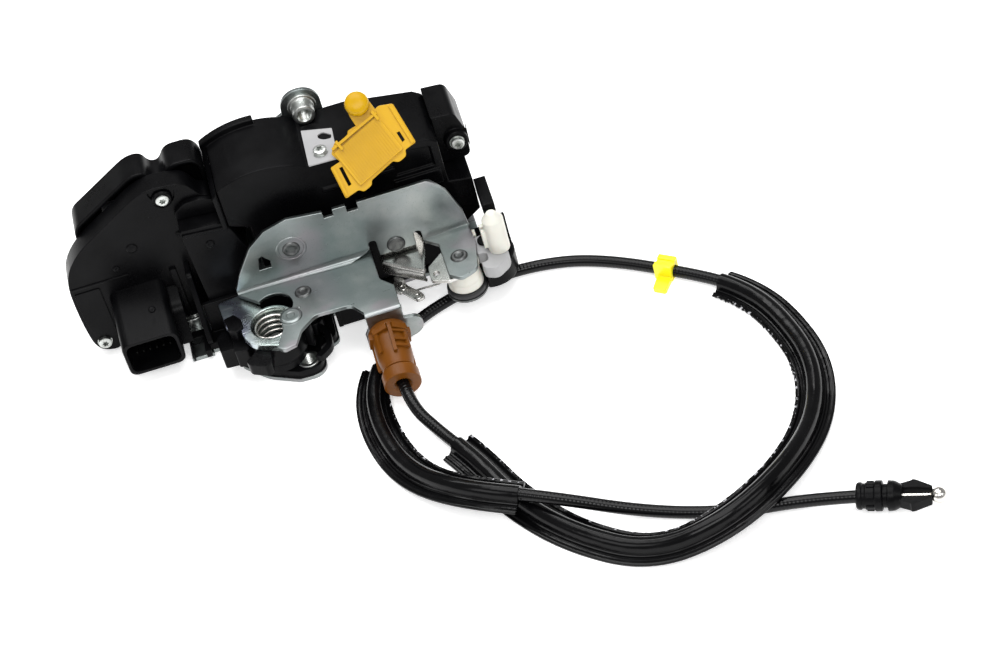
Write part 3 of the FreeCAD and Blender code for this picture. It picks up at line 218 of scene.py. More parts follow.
def plated(name, colour, tint, roughness, patch=60.0, grain=0.01 * MM, blush=None, streak=900.0):
    """Plated steel: cloudy tint, fine rolling lines, small pits and an oily blush of colour."""
    finish = Finish(name)
    clouds = finish.noise(patch, 4.0, roughness=0.6)
    lines = finish.noise(streak, 2.0, stretch=(0.08, 1.0, 1.0))
    pits = finish.noise(1900.0, 2.0).between(0.62, 0.72)
    tone = finish.mix(clouds.between(0.38, 0.66), colour, tint)
    if blush:
        bands = finish.noise(34.0, 2.0, stretch=(1.0, 1.6, 1.0)).between(0.52, 0.66)
        tone = finish.mix(bands * 0.7, tone, blush)
    dull = tuple(c * 0.72 for c in colour)
    tone = finish.mix(pits * 0.5, tone, dull)
    finish.set(base_color=tone, metallic=1.0,
               roughness=clouds * 0.18 + lines * 0.12 + pits * 0.12 + (roughness - 0.13))
    return finish.bump(lines + clouds * 2.0, grain).material


LINER_PITCH = 1.7 * MM


def conduit():
    """Glossy sheath over a wound liner, whose turns show as a row of small highlights."""
    finish = Finish("black_sheath")
    around, along = finish.around_and_along()
    turns = (along * (2.0 * pi / LINER_PITCH) + around * (2.0 * pi)).sine()
    clouds = finish.noise(80.0, 3.0)
    finish.set(base_color=finish.mix(clouds, (0.0015, 0.0015, 0.0017), (0.0035, 0.0035, 0.004)),
               roughness=clouds * 0.08 + 0.1, specular_ior_level=0.2)
    return finish.bump(turns, 0.04 * MM).material


# Shares of the way round a sleeve where its crimped edge starts and ends
CRIMP_START = 0.78
CRIMP_END = 0.885


def film():
    """Thin glossy film: smooth, with faint long waves and pale specks along the crimped inner edge."""
    finish = Finish("black_film")
    around, along = finish.around_and_along()
    inside = around.between(CRIMP_START, CRIMP_START + 0.02)
    edge = inside * (1.0 - around.between(CRIMP_END, CRIMP_END + 0.01))
    specks = finish.noise(480.0, 2.0).between(0.58, 0.64) * edge
    waves = finish.noise(120.0, 2.0)
    tone = finish.mix(waves, (0.0010, 0.0010, 0.0012), (0.0030, 0.0030, 0.0034))
    finish.set(base_color=finish.mix(specks, tone, (0.42, 0.42, 0.44)),
               roughness=waves * 0.16 + 0.09, specular_ior_level=0.15)
    return finish.bump(waves + specks * 0.3, 0.2 * MM).material


def fork_zinc():
    """Passivated steel: greenish round the cup, violet blue out on the tab."""
    finish = Finish("blue_zinc")
    clouds = finish.noise(95.0, 4.0, roughness=0.6)
    scratches = finish.noise(700.0, 2.0, stretch=(0.15, 1.0, 1.0)).between(0.6, 0.75)
    out = finish.node("ShaderNodeSeparateXYZ", {}, {"Vector": finish.place}, out="X")
    ring = (out + clouds * (8.0 * MM)).between(-12.0 * MM, -2.0 * MM)
    violet = finish.mix(clouds.between(0.4, 0.65), (0.30, 0.32, 0.42), (0.40, 0.47, 0.52))
    green = finish.mix(clouds.between(0.4, 0.65), (0.40, 0.47, 0.45), (0.55, 0.60, 0.58))
    tone = finish.mix(ring, violet, green)
    finish.set(base_color=finish.mix(scratches * 0.5, tone, (0.66, 0.68, 0.70)), metallic=1.0,
               roughness=clouds * 0.22 + scratches * 0.1 + 0.16)
    return finish.bump(clouds, 0.03 * MM).material


finishes = {
    "black_plastic": moulded("black_plastic", (0.0014, 0.0014, 0.0017), 0.30, shift=0.6, shine=0.07),
    "zinc_steel": plated("zinc_steel", (0.205, 0.23, 0.228), (0.275, 0.295, 0.288), 0.30, patch=42.0,
                         grain=0.004 * MM, blush=(0.275, 0.25, 0.268)),
    "pin_steel": plated("pin_steel", (0.145, 0.15, 0.148), (0.09, 0.093, 0.093), 0.38, patch=420.0,
                        grain=0.05 * MM),
    "bright_nickel": plated("bright_nickel", (0.48, 0.475, 0.455), (0.36, 0.355, 0.34), 0.22, patch=90.0,
                            grain=0.0005 * MM, streak=260.0),
    "blue_zinc": fork_zinc(),
    "spring_steel": plated("spring_steel", (0.70, 0.68, 0.64), (0.58, 0.56, 0.53), 0.2, patch=200.0),
    "tin_plate": plated("tin_plate", (0.014, 0.014, 0.013), (0.009, 0.009, 0.009), 0.6),
    "cream_plastic": moulded("cream_plastic", (0.62, 0.61, 0.55), 0.38, shift=0.1, bleed=0.1),
    "grey_plastic": moulded("grey_plastic", (0.32, 0.32, 0.325), 0.42, shift=0.1),
    "orange_yellow_plastic": moulded(
        "orange_yellow_plastic", (0.485, 0.275, 0.0015), 0.3, shift=0.12, shine=0.2),
    "yellow_plastic": moulded("yellow_plastic", (0.85, 0.74, 0.006), 0.36, shift=0.06, bleed=0.1),
    "orange_brown_plastic": moulded("orange_brown_plastic", (0.122, 0.038, 0.002), 0.36, shift=0.3, shine=0.2),
    "black_sheath": conduit(),
    "black_film": film(),
    "black_rubber": moulded("black_rubber", (0.012, 0.012, 0.013), 0.5, shift=0.3, shine=0.4),
    "screw_zinc": plated("screw_zinc", (0.55, 0.57, 0.55), (0.42, 0.43, 0.41), 0.3, patch=300.0),
    "motor_steel": plated("motor_steel", (0.5, 0.5, 0.5), (0.42, 0.42, 0.42), 0.4),
    "brass": plated("brass", (0.66, 0.47, 0.2), (0.55, 0.38, 0.15), 0.35),
}


# Pieces and their bodies

slot_of = {row["node"]: row["material_slot"] for row in frame["record"]["subparts"]}
body_of = {node: body for body, nodes in frame["record"]["behaviour"]["bodies"].items() for node in nodes}


def smooth(mesh, degrees=36.0):
    mesh.shade_smooth()
    mesh.set_sharp_from_angle(angle=radians(degrees))


def evaluated(holder):
    """Plain mesh of what the object comes to with its modifiers or its curve."""
    return bpy.data.meshes.new_from_object(holder.evaluated_get(bpy.context.evaluated_depsgraph_get()))


def baked(piece):
    """Turns the piece's modifiers into its plain mesh."""
    mesh = evaluated(piece)
    piece.modifiers.clear()
    piece.data = mesh


def add_piece(name, mesh, body, slot, *nodes):
    piece = new_object(name, mesh)
    mesh.materials.clear()
    mesh.materials.append(finishes[slot])
    flat = piece.modifiers.new("flat faces stay flat", "WEIGHTED_NORMAL")
    flat.keep_sharp = True
    baked(piece)
    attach(piece, body)
    if nodes:
        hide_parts(*nodes)
    return piece


def plain_mesh(work, name):
    mesh = bpy.data.meshes.new(name)
    work.to_mesh(mesh)
    work.free()
    return mesh


def finished_mesh(work, name, degrees=36.0):
    mesh = plain_mesh(work, name)
    smooth(mesh, degrees)
    return mesh


def carved(work, cuts):
    """The mesh in work with the closed meshes in cuts taken out of it."""
    body = new_object("body", plain_mesh(work, "body"))
    tool = new_object("tool", plain_mesh(cuts, "tool"))
    carve = body.modifiers.new("carve", "BOOLEAN")
    carve.operation = "DIFFERENCE"
    carve.solver = "EXACT"
    carve.object = tool
    done = bmesh.new()
    baked(body)
    done.from_mesh(body.data)
    bpy.data.objects.remove(body)
    bpy.data.objects.remove(tool)
    return done


# Pieces from the frame's own shapes, with their edges broken and their folds rounded

# Widest gap that is welded, how near to a fold's line its edges lie, and steps round a fold
WELD = 0.002 * MM
FOLD_REACH = 0.05 * MM
FOLD_SEGMENTS = 6


def corner_edges(work, first, second):
    """Edges that lie on the line through two points given in millimetres."""
    first, second = Vector(first) * MM, Vector(second) * MM
    ahead = (second - first).normalized()
    found = []
    for edge in work.edges:
        ends = [vertex.co - first for vertex in edge.verts]
        near = all((end - ahead * end.dot(ahead)).length < FOLD_REACH for end in ends)
        reach = (second - first).length + 2.0 * FOLD_REACH
        if near and all(-2.0 * FOLD_REACH < end.dot(ahead) < reach for end in ends):
            found.append(edge)
    return found


def ease(work, edge, degrees=30.0):
    """Breaks every edge sharper than the angle with a small round."""
    sharp = [e for e in work.edges if e.is_manifold and e.calc_face_angle(0.0) > radians(degrees)]
    bmesh.ops.bevel(
        work, geom=sharp, offset=edge * MM, segments=2, profile=0.6, affect="EDGES", clamp_overlap=False)


def eased(node, edge, folds=(), cut=None):
    """Copy of a frame node with its folds and sharp edges rounded.

    folds are lines, each with a radius; cut is the low and high corner of a box that is left out.
    """
    work = bmesh.new()
    work.from_mesh(frame["nodes"][node].data)
    bmesh.ops.remove_doubles(work, verts=work.verts, dist=WELD)
    if cut:
        low, high = (Vector(corner) * MM for corner in cut)
        box = bmesh.new()
        bmesh.ops.create_cube(box, size=1.0, matrix=Matrix.LocRotScale((low + high) / 2.0, None, high - low))
        work = carved(work, box)
    bmesh.ops.dissolve_limit(
        work, angle_limit=radians(1.0), verts=work.verts, edges=work.edges, delimit={"NORMAL"})
    for first, second, radius in folds:
        bmesh.ops.bevel(work, geom=corner_edges(work, first, second), offset=radius * MM,
                        segments=FOLD_SEGMENTS, profile=0.5, affect="EDGES", clamp_overlap=False)
    bmesh.ops.triangulate(work, faces=work.faces)
    ease(work, edge)
    mesh = finished_mesh(work, node + "_eased", 40.0)
    return add_piece(node + "_eased", mesh, body_of[node], slot_of[node], node)


EASED = {
    "frame_plate": 0.3, "fork_bolt": 0.35, "inside_lever": 0.25, "main_housing": 0.6, "end_cover": 0.6,
    "lock_guide": 0.4, "lock_lever": 0.5, "lock_link": 0.3, "rod_clip_white": 0.4, "cable_clip": 0.3,
}

for node, edge in EASED.items():
    eased(node, edge)
eased("latch_body", 0.35, cut=((27.0, -6.0, 1.0), (31.5, 11.6, 30.0)))
eased("bracket_plate", 0.3, folds=(
    ((-11.9, PLATE_FRONT, PLATE_TOP), (52.4, PLATE_FRONT, PLATE_TOP), 3.6),
    ((77.2, PLATE_FRONT, PLATE_TOP), (99.4, PLATE_FRONT, PLATE_TOP), 3.6),
    ((41.5, -17.5, PLATE_TOP), (58.5, -17.5, PLATE_TOP), 1.5)))


# Turned pieces: each is a profile spun about its own axis

def softened(profile, steps=4):
    """Profile corners (radius, height, round) with the rounds as short curves."""
    points = []
    count = len(profile)
    for index, corner in enumerate(profile):
        here = Vector(corner[:2])
        if len(corner) < 3:
            points.append(here)
            continue
        before = Vector(profile[index - 1][:2])
        after = Vector(profile[(index + 1) % count][:2])
        start = here + (before - here).normalized() * min(corner[2], (before - here).length * 0.49)
        end = here + (after - here).normalized() * min(corner[2], (after - here).length * 0.49)
        for step in range(steps):
            share = step / (steps - 1.0)
            points.append(start * (1 - share) ** 2 + here * 2 * share * (1 - share) + end * share ** 2)
    return points


def spun(work, profile, place, axis, sides=48):
    """Adds a closed profile, spun about the axis through the place, to the mesh."""
    turn = Vector(axis).to_track_quat("Z", "Y").to_matrix()
    rings = []
    for point in softened(profile):
        count = 1 if point.x < 1e-6 else sides
        ring = []
        for step in range(count):
            angle = 2.0 * pi * step / sides
            local = Vector((point.x * cos(angle), point.x * sin(angle), point.y))
            ring.append(work.verts.new((Vector(place) + turn @ local) * MM))
        rings.append(ring)
    made = []
    for first, second in zip(rings, rings[1:] + rings[:1]):
        if len(first) == 1 and len(second) == 1:
            continue
        for step in range(sides):
            following = (step + 1) % sides
            corners = [first[step % len(first)], first[following % len(first)],
                       second[following % len(second)], second[step % len(second)]]
            corners = [corner for index, corner in enumerate(corners) if corner not in corners[:index]]
            made.append(work.faces.new(corners))
    bmesh.ops.recalc_face_normals(work, faces=made)


THREAD_PITCH = 1.0
THREAD_DEPTH = 0.45
THREAD_RADIUS = 2.6


def thread(low, high):
    """Profile of a threaded bore, from its top down."""
    points = []
    turns = int((high - low) / THREAD_PITCH)
    for step in range(turns):
        top = high - (high - low) * step / turns
        points += [(THREAD_RADIUS + THREAD_DEPTH, top - 0.05 * THREAD_PITCH),
                   (THREAD_RADIUS, top - 0.5 * THREAD_PITCH)]
    return points


BUSH_HEIGHT = 6.8
BUSH = [(4.2, 0), (4.2, 2), (5.2, 2), (5.2, BUSH_HEIGHT, 0.5), (3.5, BUSH_HEIGHT, 0.3),
        *thread(0.3, BUSH_HEIGHT - 0.6), (THREAD_RADIUS, 0)]

TURNED = {
    "bracket_rivet": ("pin_steel", [
        (0, 0.45), (2.1, 0.55, 0.3), (2.7, 0.95, 0.2), (3.7, 0.85, 0.4), (4.15, 0), (3, 0), (3, -2),
        (5, -2, 0.3), (5, -10.7), (0, -10.7)], (18.1, PLATE_FRONT, 47.7), FRONT),
    "release_pivot": ("pin_steel", [
        (0, 0.75), (3, 0.8, 0.3), (3.4, 1, 0.2), (4.2, 0.8, 0.4), (4.4, 0), (2.5, 0), (2.5, -4.2),
        (4.1, -4.4, 0.3), (4.1, -10.7), (0, -10.7)], (64.6, PLATE_FRONT, 32.1), FRONT),
    "detent_pivot": ("pin_steel", [
        (0, 0.3), (1.5, 0.35, 0.2), (2, 0.85, 0.3), (3.4, 0.85, 0.4), (4, 0), (2.5, 0), (2.5, -2),
        (3, -2), (3, -29), (2.5, -29), (2.5, -31), (0, -31)], (*DETENT_PIN, PLATE_TOP), UP),
    "lever_pin": ("pin_steel", [
        (0, 0.4), (1.7, 0.5, 0.3), (2.3, 0.95, 0.3), (3.5, 0.9, 0.4), (4.1, 0), (2.5, 0), (2.5, -2),
        (3, -2), (3, -21.4), (4.6, -21.4, 0.3), (4.6, -22.3, 0.4), (0, -22.3)], (*LEVER_PIN, PLATE_TOP), UP),
    "flange_collar": ("screw_zinc", [
        (4.2, -2), (4.2, 0), (6.8, 0), (6.8, 1.3, 0.4), (5.6, 1.7, 0.3), (5.2, 2.6), (5.2, 8, 0.6),
        (3.5, 8, 0.3), *thread(-1.2, 7.2), (THREAD_RADIUS, -2)], (41.5, 70, 88), FRONT),
    "frame_bush_1": ("screw_zinc", BUSH, (11, -7.5, 0), UP),
    "frame_bush_2": ("screw_zinc", BUSH, (38, 44, 0), UP),
    "frame_bush_3": ("screw_zinc", BUSH, (-36.5, 46, 0), UP),
    "lever_spacer": ("cream_plastic", [
        (3, 14.4), (8.3, 14.4, 0.4), (8.2, 18.4, 0.4), (7.9, 19, 0.3), (7.7, 24.4, 0.3), (8.3, 24.9, 0.3),
        (8.3, 26.8, 0.4), (3, 26.8)], (*LEVER_PIN, 0), UP),
    "bumper_ring": ("black_rubber", [
        (3, 0), (9, 0, 0.5), (9.4, 0.8, 0.5), (9.4, 2.4, 0.5), (9, 3.2, 0.6), (3, 3.2)],
        (*LEVER_PIN, 11.2), UP),
    "pin_washer": ("pin_steel", [
        (3, 0), (9.6, 0, 0.3), (9.6, 1.2, 0.3), (3, 1.2)], (*LEVER_PIN, 10), UP),
    "fork_pivot": ("pin_steel", [
        (0, 0), (3.5, 0), (3.5, 2), (4, 2), (4, 9.9), (8.4, 9.9, 0.3), (8.4, 11, 0.3),
        (3.5, 11), (3.5, 18.4, 0.6), (0, 18.9)], (0, 0, 0), UP),
}

for node, (slot, profile, place, axis) in TURNED.items():
    work = bmesh.new()
    spun(work, profile, place, axis)
    add_piece(node + "_turned", finished_mesh(work, node + "_turned"), body_of[node], slot, node)


# Blocks and shells over outlines: a lay turns outline and depth into a place

def on_floor(x, y, z):
    return x, y, z


def on_wall(x, z, y):
    return x, y, z


def on_side(y, z, x):
    return x, y, z


def loft(work, outlines, lay=on_wall, steps=7):
    """Closed skin over matching outlines of corners (a, b, round), each with its depth. Returns its faces."""
    rings = [[work.verts.new(Vector(lay(a, b, depth)) * MM) for a, b in softened(outline, steps)]
             for outline, depth in outlines]
    faces = [work.faces.new(rings[0]), work.faces.new(rings[-1])]
    for first, second in zip(rings, rings[1:]):
        for step in range(len(first)):
            following = (step + 1) % len(first)
            faces.append(work.faces.new((first[step], first[following], second[following], second[step])))
    bmesh.ops.recalc_face_normals(work, faces=faces)
    return faces


def prism(work, outline, low, high, lay=on_floor):
    """Closed block over one outline. Returns its faces."""
    return loft(work, [(outline, low), (outline, high)], lay, 4)


def rolled(work, rows, thickness):
    """Sheet of the given thickness over rows of places in millimetres."""
    grid = [[work.verts.new(Vector(place) * MM) for place in row] for row in rows]
    faces = []
    for first, second in zip(grid, grid[1:]):
        for step in range(len(first) - 1):
            faces.append(work.faces.new((first[step], first[step + 1], second[step + 1], second[step])))
    bmesh.ops.recalc_face_normals(work, faces=faces)
    bmesh.ops.solidify(work, geom=faces, thickness=thickness * MM)


ROLL_ROWS = 12
ROLL_START = 55.2
ROLL_RADIUS = 2.4
ROLL_DROP = 5.2
LIP_RADIUS = 1.8
ROLL_OUT = Vector((-0.63, -0.777, 0.0))


def channel_lever():
    """Release lever: flat ear on the pivot, and a web rolled over into a channel in front."""
    work = bmesh.new()
    prism(work, [(57, 24.6), (78.4, 24.6), (75, 34, 4), (66.6, 40.4, 3.5), (59.8, 38.4, 3.5)], 25, 26.8,
          on_wall)
    rows = []
    for step in range(ROLL_ROWS + 1):
        share = step / ROLL_ROWS
        back = Vector((ROLL_START + 22.6 * share, 25.4, 26))
        ridge = Vector((ROLL_START + 17.4 * share, 18.8 - 14.0 * share, 26))

        def below(inward, drop):
            return ridge - ROLL_OUT * inward - Vector(UP) * drop

        row = [back, back.lerp(ridge, 0.5), below(ROLL_RADIUS, 0)]
        for turn in map(radians, (15, 35, 55, 75, 90)):
            row.append(below(ROLL_RADIUS * (1.0 - sin(turn)), ROLL_RADIUS * (1.0 - cos(turn))))
        row.append(below(0, ROLL_DROP))
        for turn in map(radians, (30, 60, 90)):
            row.append(below(LIP_RADIUS * (1.0 - cos(turn)), ROLL_DROP + LIP_RADIUS * sin(turn)))
        rows.append(row)
    rolled(work, rows, 1.4)
    prism(work, [(76.6, 24), (77.8, 24), (73.6, 5.2, 0.4), (72.6, 5, 0.4)], 25.4, 27.4)
    for outline in (
            [(58, 14.6), (57.6, 8.4, 2), (60, 6.2, 1.5), (64.6, 9, 1), (63.4, 12.6, 1)],
            [(60.4, 7.4), (66.4, -2, 2.2), (70.6, -1, 1.8), (69.8, 2.4, 1.5), (63.4, 11)]):
        prism(work, outline, 15, 16.6)
    for x, y in ((67.2, 0.6), (61.6, 9.2)):
        spun(work, [(1, 16.3), (2, 16.3), (2, 17.1, 0.3), (1, 17.1, 0.3)], (x, y, 0), UP, 24)
    prism(work, [(58.8, 13.6), (60.2, 14.6), (63.6, 10.6), (62.2, 9.6)], 16, 20.2)
    ease(work, 0.25)
    return finished_mesh(work, "channel_lever")


add_piece("channel_lever", channel_lever(), "release_lever", "bright_nickel", "release_lever")


def jacket():
    """Plastic over the fork bolt: a collar round the cup and small stepped blocks on the claw."""
    work = bmesh.new()
    spun(work, [(11.5, 7.5), (12, 7.5), (12.1, 12.5), (13.4, 12.5, 0.5), (13.4, 24.3, 0.3), (11.5, 24.3)],
         (0, 0, 0), UP, 64)
    for outline, low, high in (
            ([(-21, 10.4, 0.8), (-16.2, 11.8, 0.8), (-13.2, 7.2, 0.8), (-12.9, 1.8, 0.8), (-16.6, -0.4, 0.8),
              (-19.9, 2.2, 0.8)], 15, 28.9),
            ([(-27.2, 6.8, 0.8), (-24, 11.6, 0.8), (-13, 9), (-12.6, -1), (-19, -2.2, 0.8),
              (-26.4, -1.6, 0.8)], 10, 21),
            ([(-19.6, 3.4), (-12.9, 3.4), (-11.6, -3.4), (-14.2, -7.6, 0.8), (-20, -6, 0.8)], 12.5, 22.6),
            ([(-8.6, -9.6), (-15.6, -16, 1), (-14.6, -19, 1), (-7, -23.4, 1.2), (-4.4, -21.4, 1),
              (-3.4, -12.4)], 18, 24.3),
            ([(11.6, -4), (15.8, -6.8, 0.6), (17, -3.2, 0.6), (12.2, -1.6)], 12.5, 24.3),
            ([(-22, 13.5), (-15, 20), (-9.5, 19.5), (-8.6, 10.3), (-20, 6)], 16, 24.3)):
        prism(work, outline, low, high)
    ease(work, 0.35)
    return finished_mesh(work, "jacket")


add_piece("jacket", jacket(), "fork", "black_plastic", "fork_jacket")


def pawl():
    """Detent: a round boss on its pin and a slim hooked arm."""
    work = bmesh.new()
    spun(work, [(3.05, 8), (5, 8, 0.3), (5, 14, 0.3), (3.05, 14)], (*DETENT_PIN, 0), UP)
    prism(work, [(21, 7.6), (24.4, 1, 4), (23.6, -8.4, 3), (17.2, -13.8, 0.8), (14.6, -11.8, 0.8),
                 (20.9, -6.6, 2), (21.3, 0, 4), (18.2, 6)], 8, 11.6)
    ease(work, 0.25)
    return finished_mesh(work, "pawl")


add_piece("pawl", pawl(), "detent", "black_plastic", "detent")


def inset(outline, wall):
    """The outline drawn in by the wall, corner by corner."""
    corners = [Vector(corner[:2]) for corner in outline]
    count = len(corners)
    area = sum(a.x * b.y - b.x * a.y for a, b in zip(corners, corners[1:] + corners[:1]))
    sign = 1.0 if area > 0.0 else -1.0
    drawn = []
    for index, here in enumerate(corners):
        before = (here - corners[index - 1]).normalized()
        after = (corners[(index + 1) % count] - here).normalized()
        first = Vector((-before.y, before.x)) * sign
        second = Vector((-after.y, after.x)) * sign
        across = (first + second) / max(0.5, 1.0 + first.dot(second))
        drawn.append((*(here + across * wall), *outline[index][2:]))
    return drawn


def shell(work, outline, mouth, floor, wall):
    """Open box: mouth is the depth of its open side, floor that of its closed side."""
    inner = inset(outline, wall)
    ahead = wall if floor > mouth else -wall
    loft(work, [(outline, floor), (outline, mouth), (inner, mouth), (inner, floor - ahead)])


CASE_OUTLINE = [
    (-76, 22, 3), (-16, 22, 3), (-9, 30, 3), (-9, 84, 3), (-12.5, 89.3, 3.5),
    (-24.5, 89.6, 4.5), (-28.6, 82.6, 3.5), (-32.8, 83, 3.5), (-35.6, 89.6, 4), (-43.2, 89.6, 5),
    (-75, 69.5, 4), (-76.5, 54, 2),
]


def case_shell():
    """Actuator case: deep half behind the cover."""
    work = bmesh.new()
    shell(work, CASE_OUTLINE, 54, 70, 2.2)
    ease(work, 0.9, 60)
    return finished_mesh(work, "case_shell")


add_piece("case_shell", case_shell(), "housing", "black_plastic", "actuator_case")

COVER_OUTLINE = [
    (-84.8, 3.6, 9), (-74, 0.8, 4), (-70.4, 7.8, 1.5), (-34, 7.8, 3), (-27.5, 12, 3), (-12.5, 17, 4),
    (1, 42, 8), (-4.2, 57.6, 1), (-9.1, 57.6, 1), (-9.5, 75, 2), (-14, 76.5, 2), (-19, 85.5, 4),
    (-33, 88.5, 10), (-43, 86, 7), (-77.4, 63.4, 9), (-86.4, 50, 12), (-86.8, 24, 12),
]
PAD_OUTLINE = [
    (-26, 20, 2), (-13, 20, 4), (0.8, 43, 7), (-5.4, 61, 3), (-8, 66, 3), (-28, 68, 1.5)]


def cover_shell():
    """Actuator cover: rounded lid, raised pad, screw recess, ledges, ejector dots and the wedge rib."""
    work = bmesh.new()
    shell(work, COVER_OUTLINE, 54, 43, 2.2)
    cuts = bmesh.new()
    prism(cuts, [(-37.4, 86.8, 3), (-24, 86, 3), (-25.6, 78.4, 3), (-32.6, 74.2, 3.5)], 41, 44.3, on_wall)
    work = carved(work, cuts)
    shell(work, PAD_OUTLINE, 43.4, 32, 2.2)
    for outline, low, high, lay in (
            ([(-27.4, 66, 0.5), (-8.2, 64, 0.5), (-8.6, 62.2, 0.5), (-27.4, 64.2, 0.5)], 31, 32.4, on_wall),
            ([(-28, 68.4, 1), (-9.2, 66.4, 1), (-9.4, 74.4, 1), (-15, 76.4, 1), (-22.4, 76.6, 2),
              (-28, 72.4, 2)], 40.4, 43.4, on_wall),
            ([(-85.4, 44.4), (-58, 44.4), (-58, 43.2), (-85.5, 43.2)], 42.4, 43.4, on_wall),
            ([(-84.9, 41, 1), (-72.6, 41, 1), (-72.6, 11, 1), (-82, 7, 3), (-85.2, 24, 8)],
             42.4, 43.4, on_wall),
            ([(-39.6, 40, 1), (-36.4, 40, 1), (-36.4, 12, 1), (-39.6, 10, 1)], 41.4, 43.4, on_wall),
            ([(43.4, 41), (43.4, 12), (20, 8), (20, 10), (34, 40, 2)], -32.5, -30, on_side),
            ([(43.4, 8), (43.4, 30, 1), (31, 26, 4), (24, 8.4, 1)], -44, -38.6, on_side)):
        prism(work, outline, low, high, lay)
    for x, z, y, radius in ((-52, 58, 43, 2.6), (-16.5, 56.5, 32, 2), (-29.5, 58.6, 43, 1.4),
                            (-62, 49, 43, 1.6)):
        spun(work, [(0, -0.4), (radius, -0.4), (radius, 0.5, 0.3), (radius - 0.7, 0.8, 0.3), (0, 0.5)],
             (x, y, z), FRONT, 32)
    for x, z, low in ((-31, 80.2, 1.4), (-79.8, 8.6, 0.2)):
        spun(work, [(2.2, -8), (4.6, -8), (4.6, low - 1.2, 0.3), (2.2, low - 1.2, 0.3)],
             (x, COVER_FRONT, z), FRONT, 32)
    ease(work, 0.5)
    front = [(-70.4, 7.6, 4), (-43.6, 7.6, 4), (-43.6, 27.6, 4.5), (-70.4, 27.6, 4.5)]
    root = [(-70.4, 7.6, 4), (-43.6, 7.6, 4), (-43.6, 36, 4.5), (-70.4, 36, 4.5)]
    mouth = inset(front, 1.9)
    loft(work, [(root, 43.3), (front, 14.7), (inset(front, 0.35), 14.1), (inset(front, 0.8), 14),
                (inset(front, 1.6), 14.1), (mouth, 14.6), (inset(front, 2.1), 34)])
    spun(work, [(0, -0.6), (1.7, -0.6), (1.7, 0.7, 0.3), (1.2, 1, 0.3), (0, 0.8)],
         (-52, 28.4, 31.4), (0, -0.29, 0.96), 24)
    return finished_mesh(work, "cover_shell", 40)


add_piece("cover_shell", cover_shell(), "housing", "black_plastic", "actuator_cover")


HOLDER_LEAN = radians(8)
HOLDER_TOP = Vector((49.5, -17.5, 29))
HOLDER_TO_CABLE = 12.5
FITTING_AHEAD = Vector((0, -cos(HOLDER_LEAN), -sin(HOLDER_LEAN)))
FITTING_PLACE = HOLDER_TOP + Vector((0, sin(HOLDER_LEAN), -cos(HOLDER_LEAN))) * HOLDER_TO_CABLE


def cable_fitting():
    """Orange-brown fitting: notched collar, T ribs on a tapering body, a groove and the end ring."""
    work = bmesh.new()
    spun(work, [
        (1.3, -4.5), (5.4, -4.5, 0.3), (6.1, 0), (9, 0, 0.4), (9, 2.2, 0.4), (8.1, 2.6), (8.3, 9),
        (8.2, 16.5, 2), (7.2, 22.2, 1.5), (6.9, 23.4), (6.9, 24.8), (7.6, 25.2), (8.6, 25.6, 0.5),
        (8.6, 32, 0.6), (4.4, 32, 0.4), (3.1, 30.8), (3.1, 24), (1.3, 24)], FITTING_PLACE, FITTING_AHEAD, 64)
    spun(work, [(6.6, 23.7), (7.7, 23.7, 0.3), (7.7, 24.5, 0.3), (6.6, 24.5)],
         FITTING_PLACE, FITTING_AHEAD, 48)
    level = Vector((1, 0, 0))
    upward = FITTING_AHEAD.cross(level)

    def bar(angle, along, width, low, high):
        """Block on the body: its angle round the axis, its run along it, its width and its radii."""
        out = level * cos(angle) + upward * sin(angle)
        across = FITTING_AHEAD.cross(out)
        near, far = along
        side = 0.5 * width
        prism(work, [(near, -side, 0.5), (far, -side, 0.5), (far, side, 0.5), (near, side, 0.5)], low, high,
              lambda a, b, depth: FITTING_PLACE + FITTING_AHEAD * a + across * b + out * depth)

    for step in range(6):
        bar(radians(60.0 * step + 52), (2.6, 6), 7.4, 7, 9.6)
    for angle in (82, 202, 322):
        bar(radians(angle), (2.6, 19), 1.7, 7, 9.7)
    for angle in (36, 128, 248, 282):
        bar(radians(angle), (6, 16.6), 2, 7, 9.5)
    for along in (6.6, 11.6, 15.2):
        bar(radians(60), (along, along + 1.3), 6, 7, 9.4)
    ease(work, 0.25, 50)
    return finished_mesh(work, "cable_fitting")


add_piece("fitting_body", cable_fitting(), "housing", "orange_brown_plastic", "cable_fitting")


def plate_marks():
    """Pressed rings, the dimple and the small punch mark on the steel plate."""
    work = bmesh.new()
    spun(work, [(5.6, -0.2), (5.8, 0.3, 0.2), (6.9, 0.3, 0.2), (7.3, -0.2)],
         (18.1, PLATE_FRONT, 47.7), FRONT, 64)
    spun(work, [(0, -0.3), (5.3, -0.3), (5.2, 0.5, 0.5), (4.2, 1, 0.5), (1.9, 0.95, 0.3), (1.3, 0.25, 0.3),
                (0, 0.2)], (9.4, -3, PLATE_TOP), UP)
    spun(work, [(0, -0.2), (0.75, -0.2), (0.7, 0.25, 0.2), (0, 0.3)], (14, 1.5, PLATE_TOP), UP, 24)
    spun(work, [(0, -0.2), (0.6, -0.2), (0.5, 0.2, 0.2), (0, 0.25)], (34, PLATE_FRONT, 44), FRONT, 24)
    add_piece("plate_marks", finished_mesh(work, "plate_marks"), "housing", "zinc_steel")


plate_marks()


# Round wire and anything else that follows a line

def spline_points(points, steps=24):
    """Closely spaced points of the smooth spline through a route."""
    curve = bpy.data.curves.new("route", "CURVE")
    curve.dimensions = "3D"
    curve.resolution_u = steps
    spline = curve.splines.new("NURBS")
    spline.points.add(len(points) - 1)
    for point, place in zip(spline.points, points):
        point.co = (*place, 1.0)
    spline.order_u = 3
    spline.use_endpoint_u = True
    holder = new_object("route", curve)
    line = evaluated(holder)
    found = [vertex.co.copy() for vertex in line.vertices]
    bpy.data.objects.remove(holder)
    bpy.data.curves.remove(curve)
    bpy.data.meshes.remove(line)
    return found


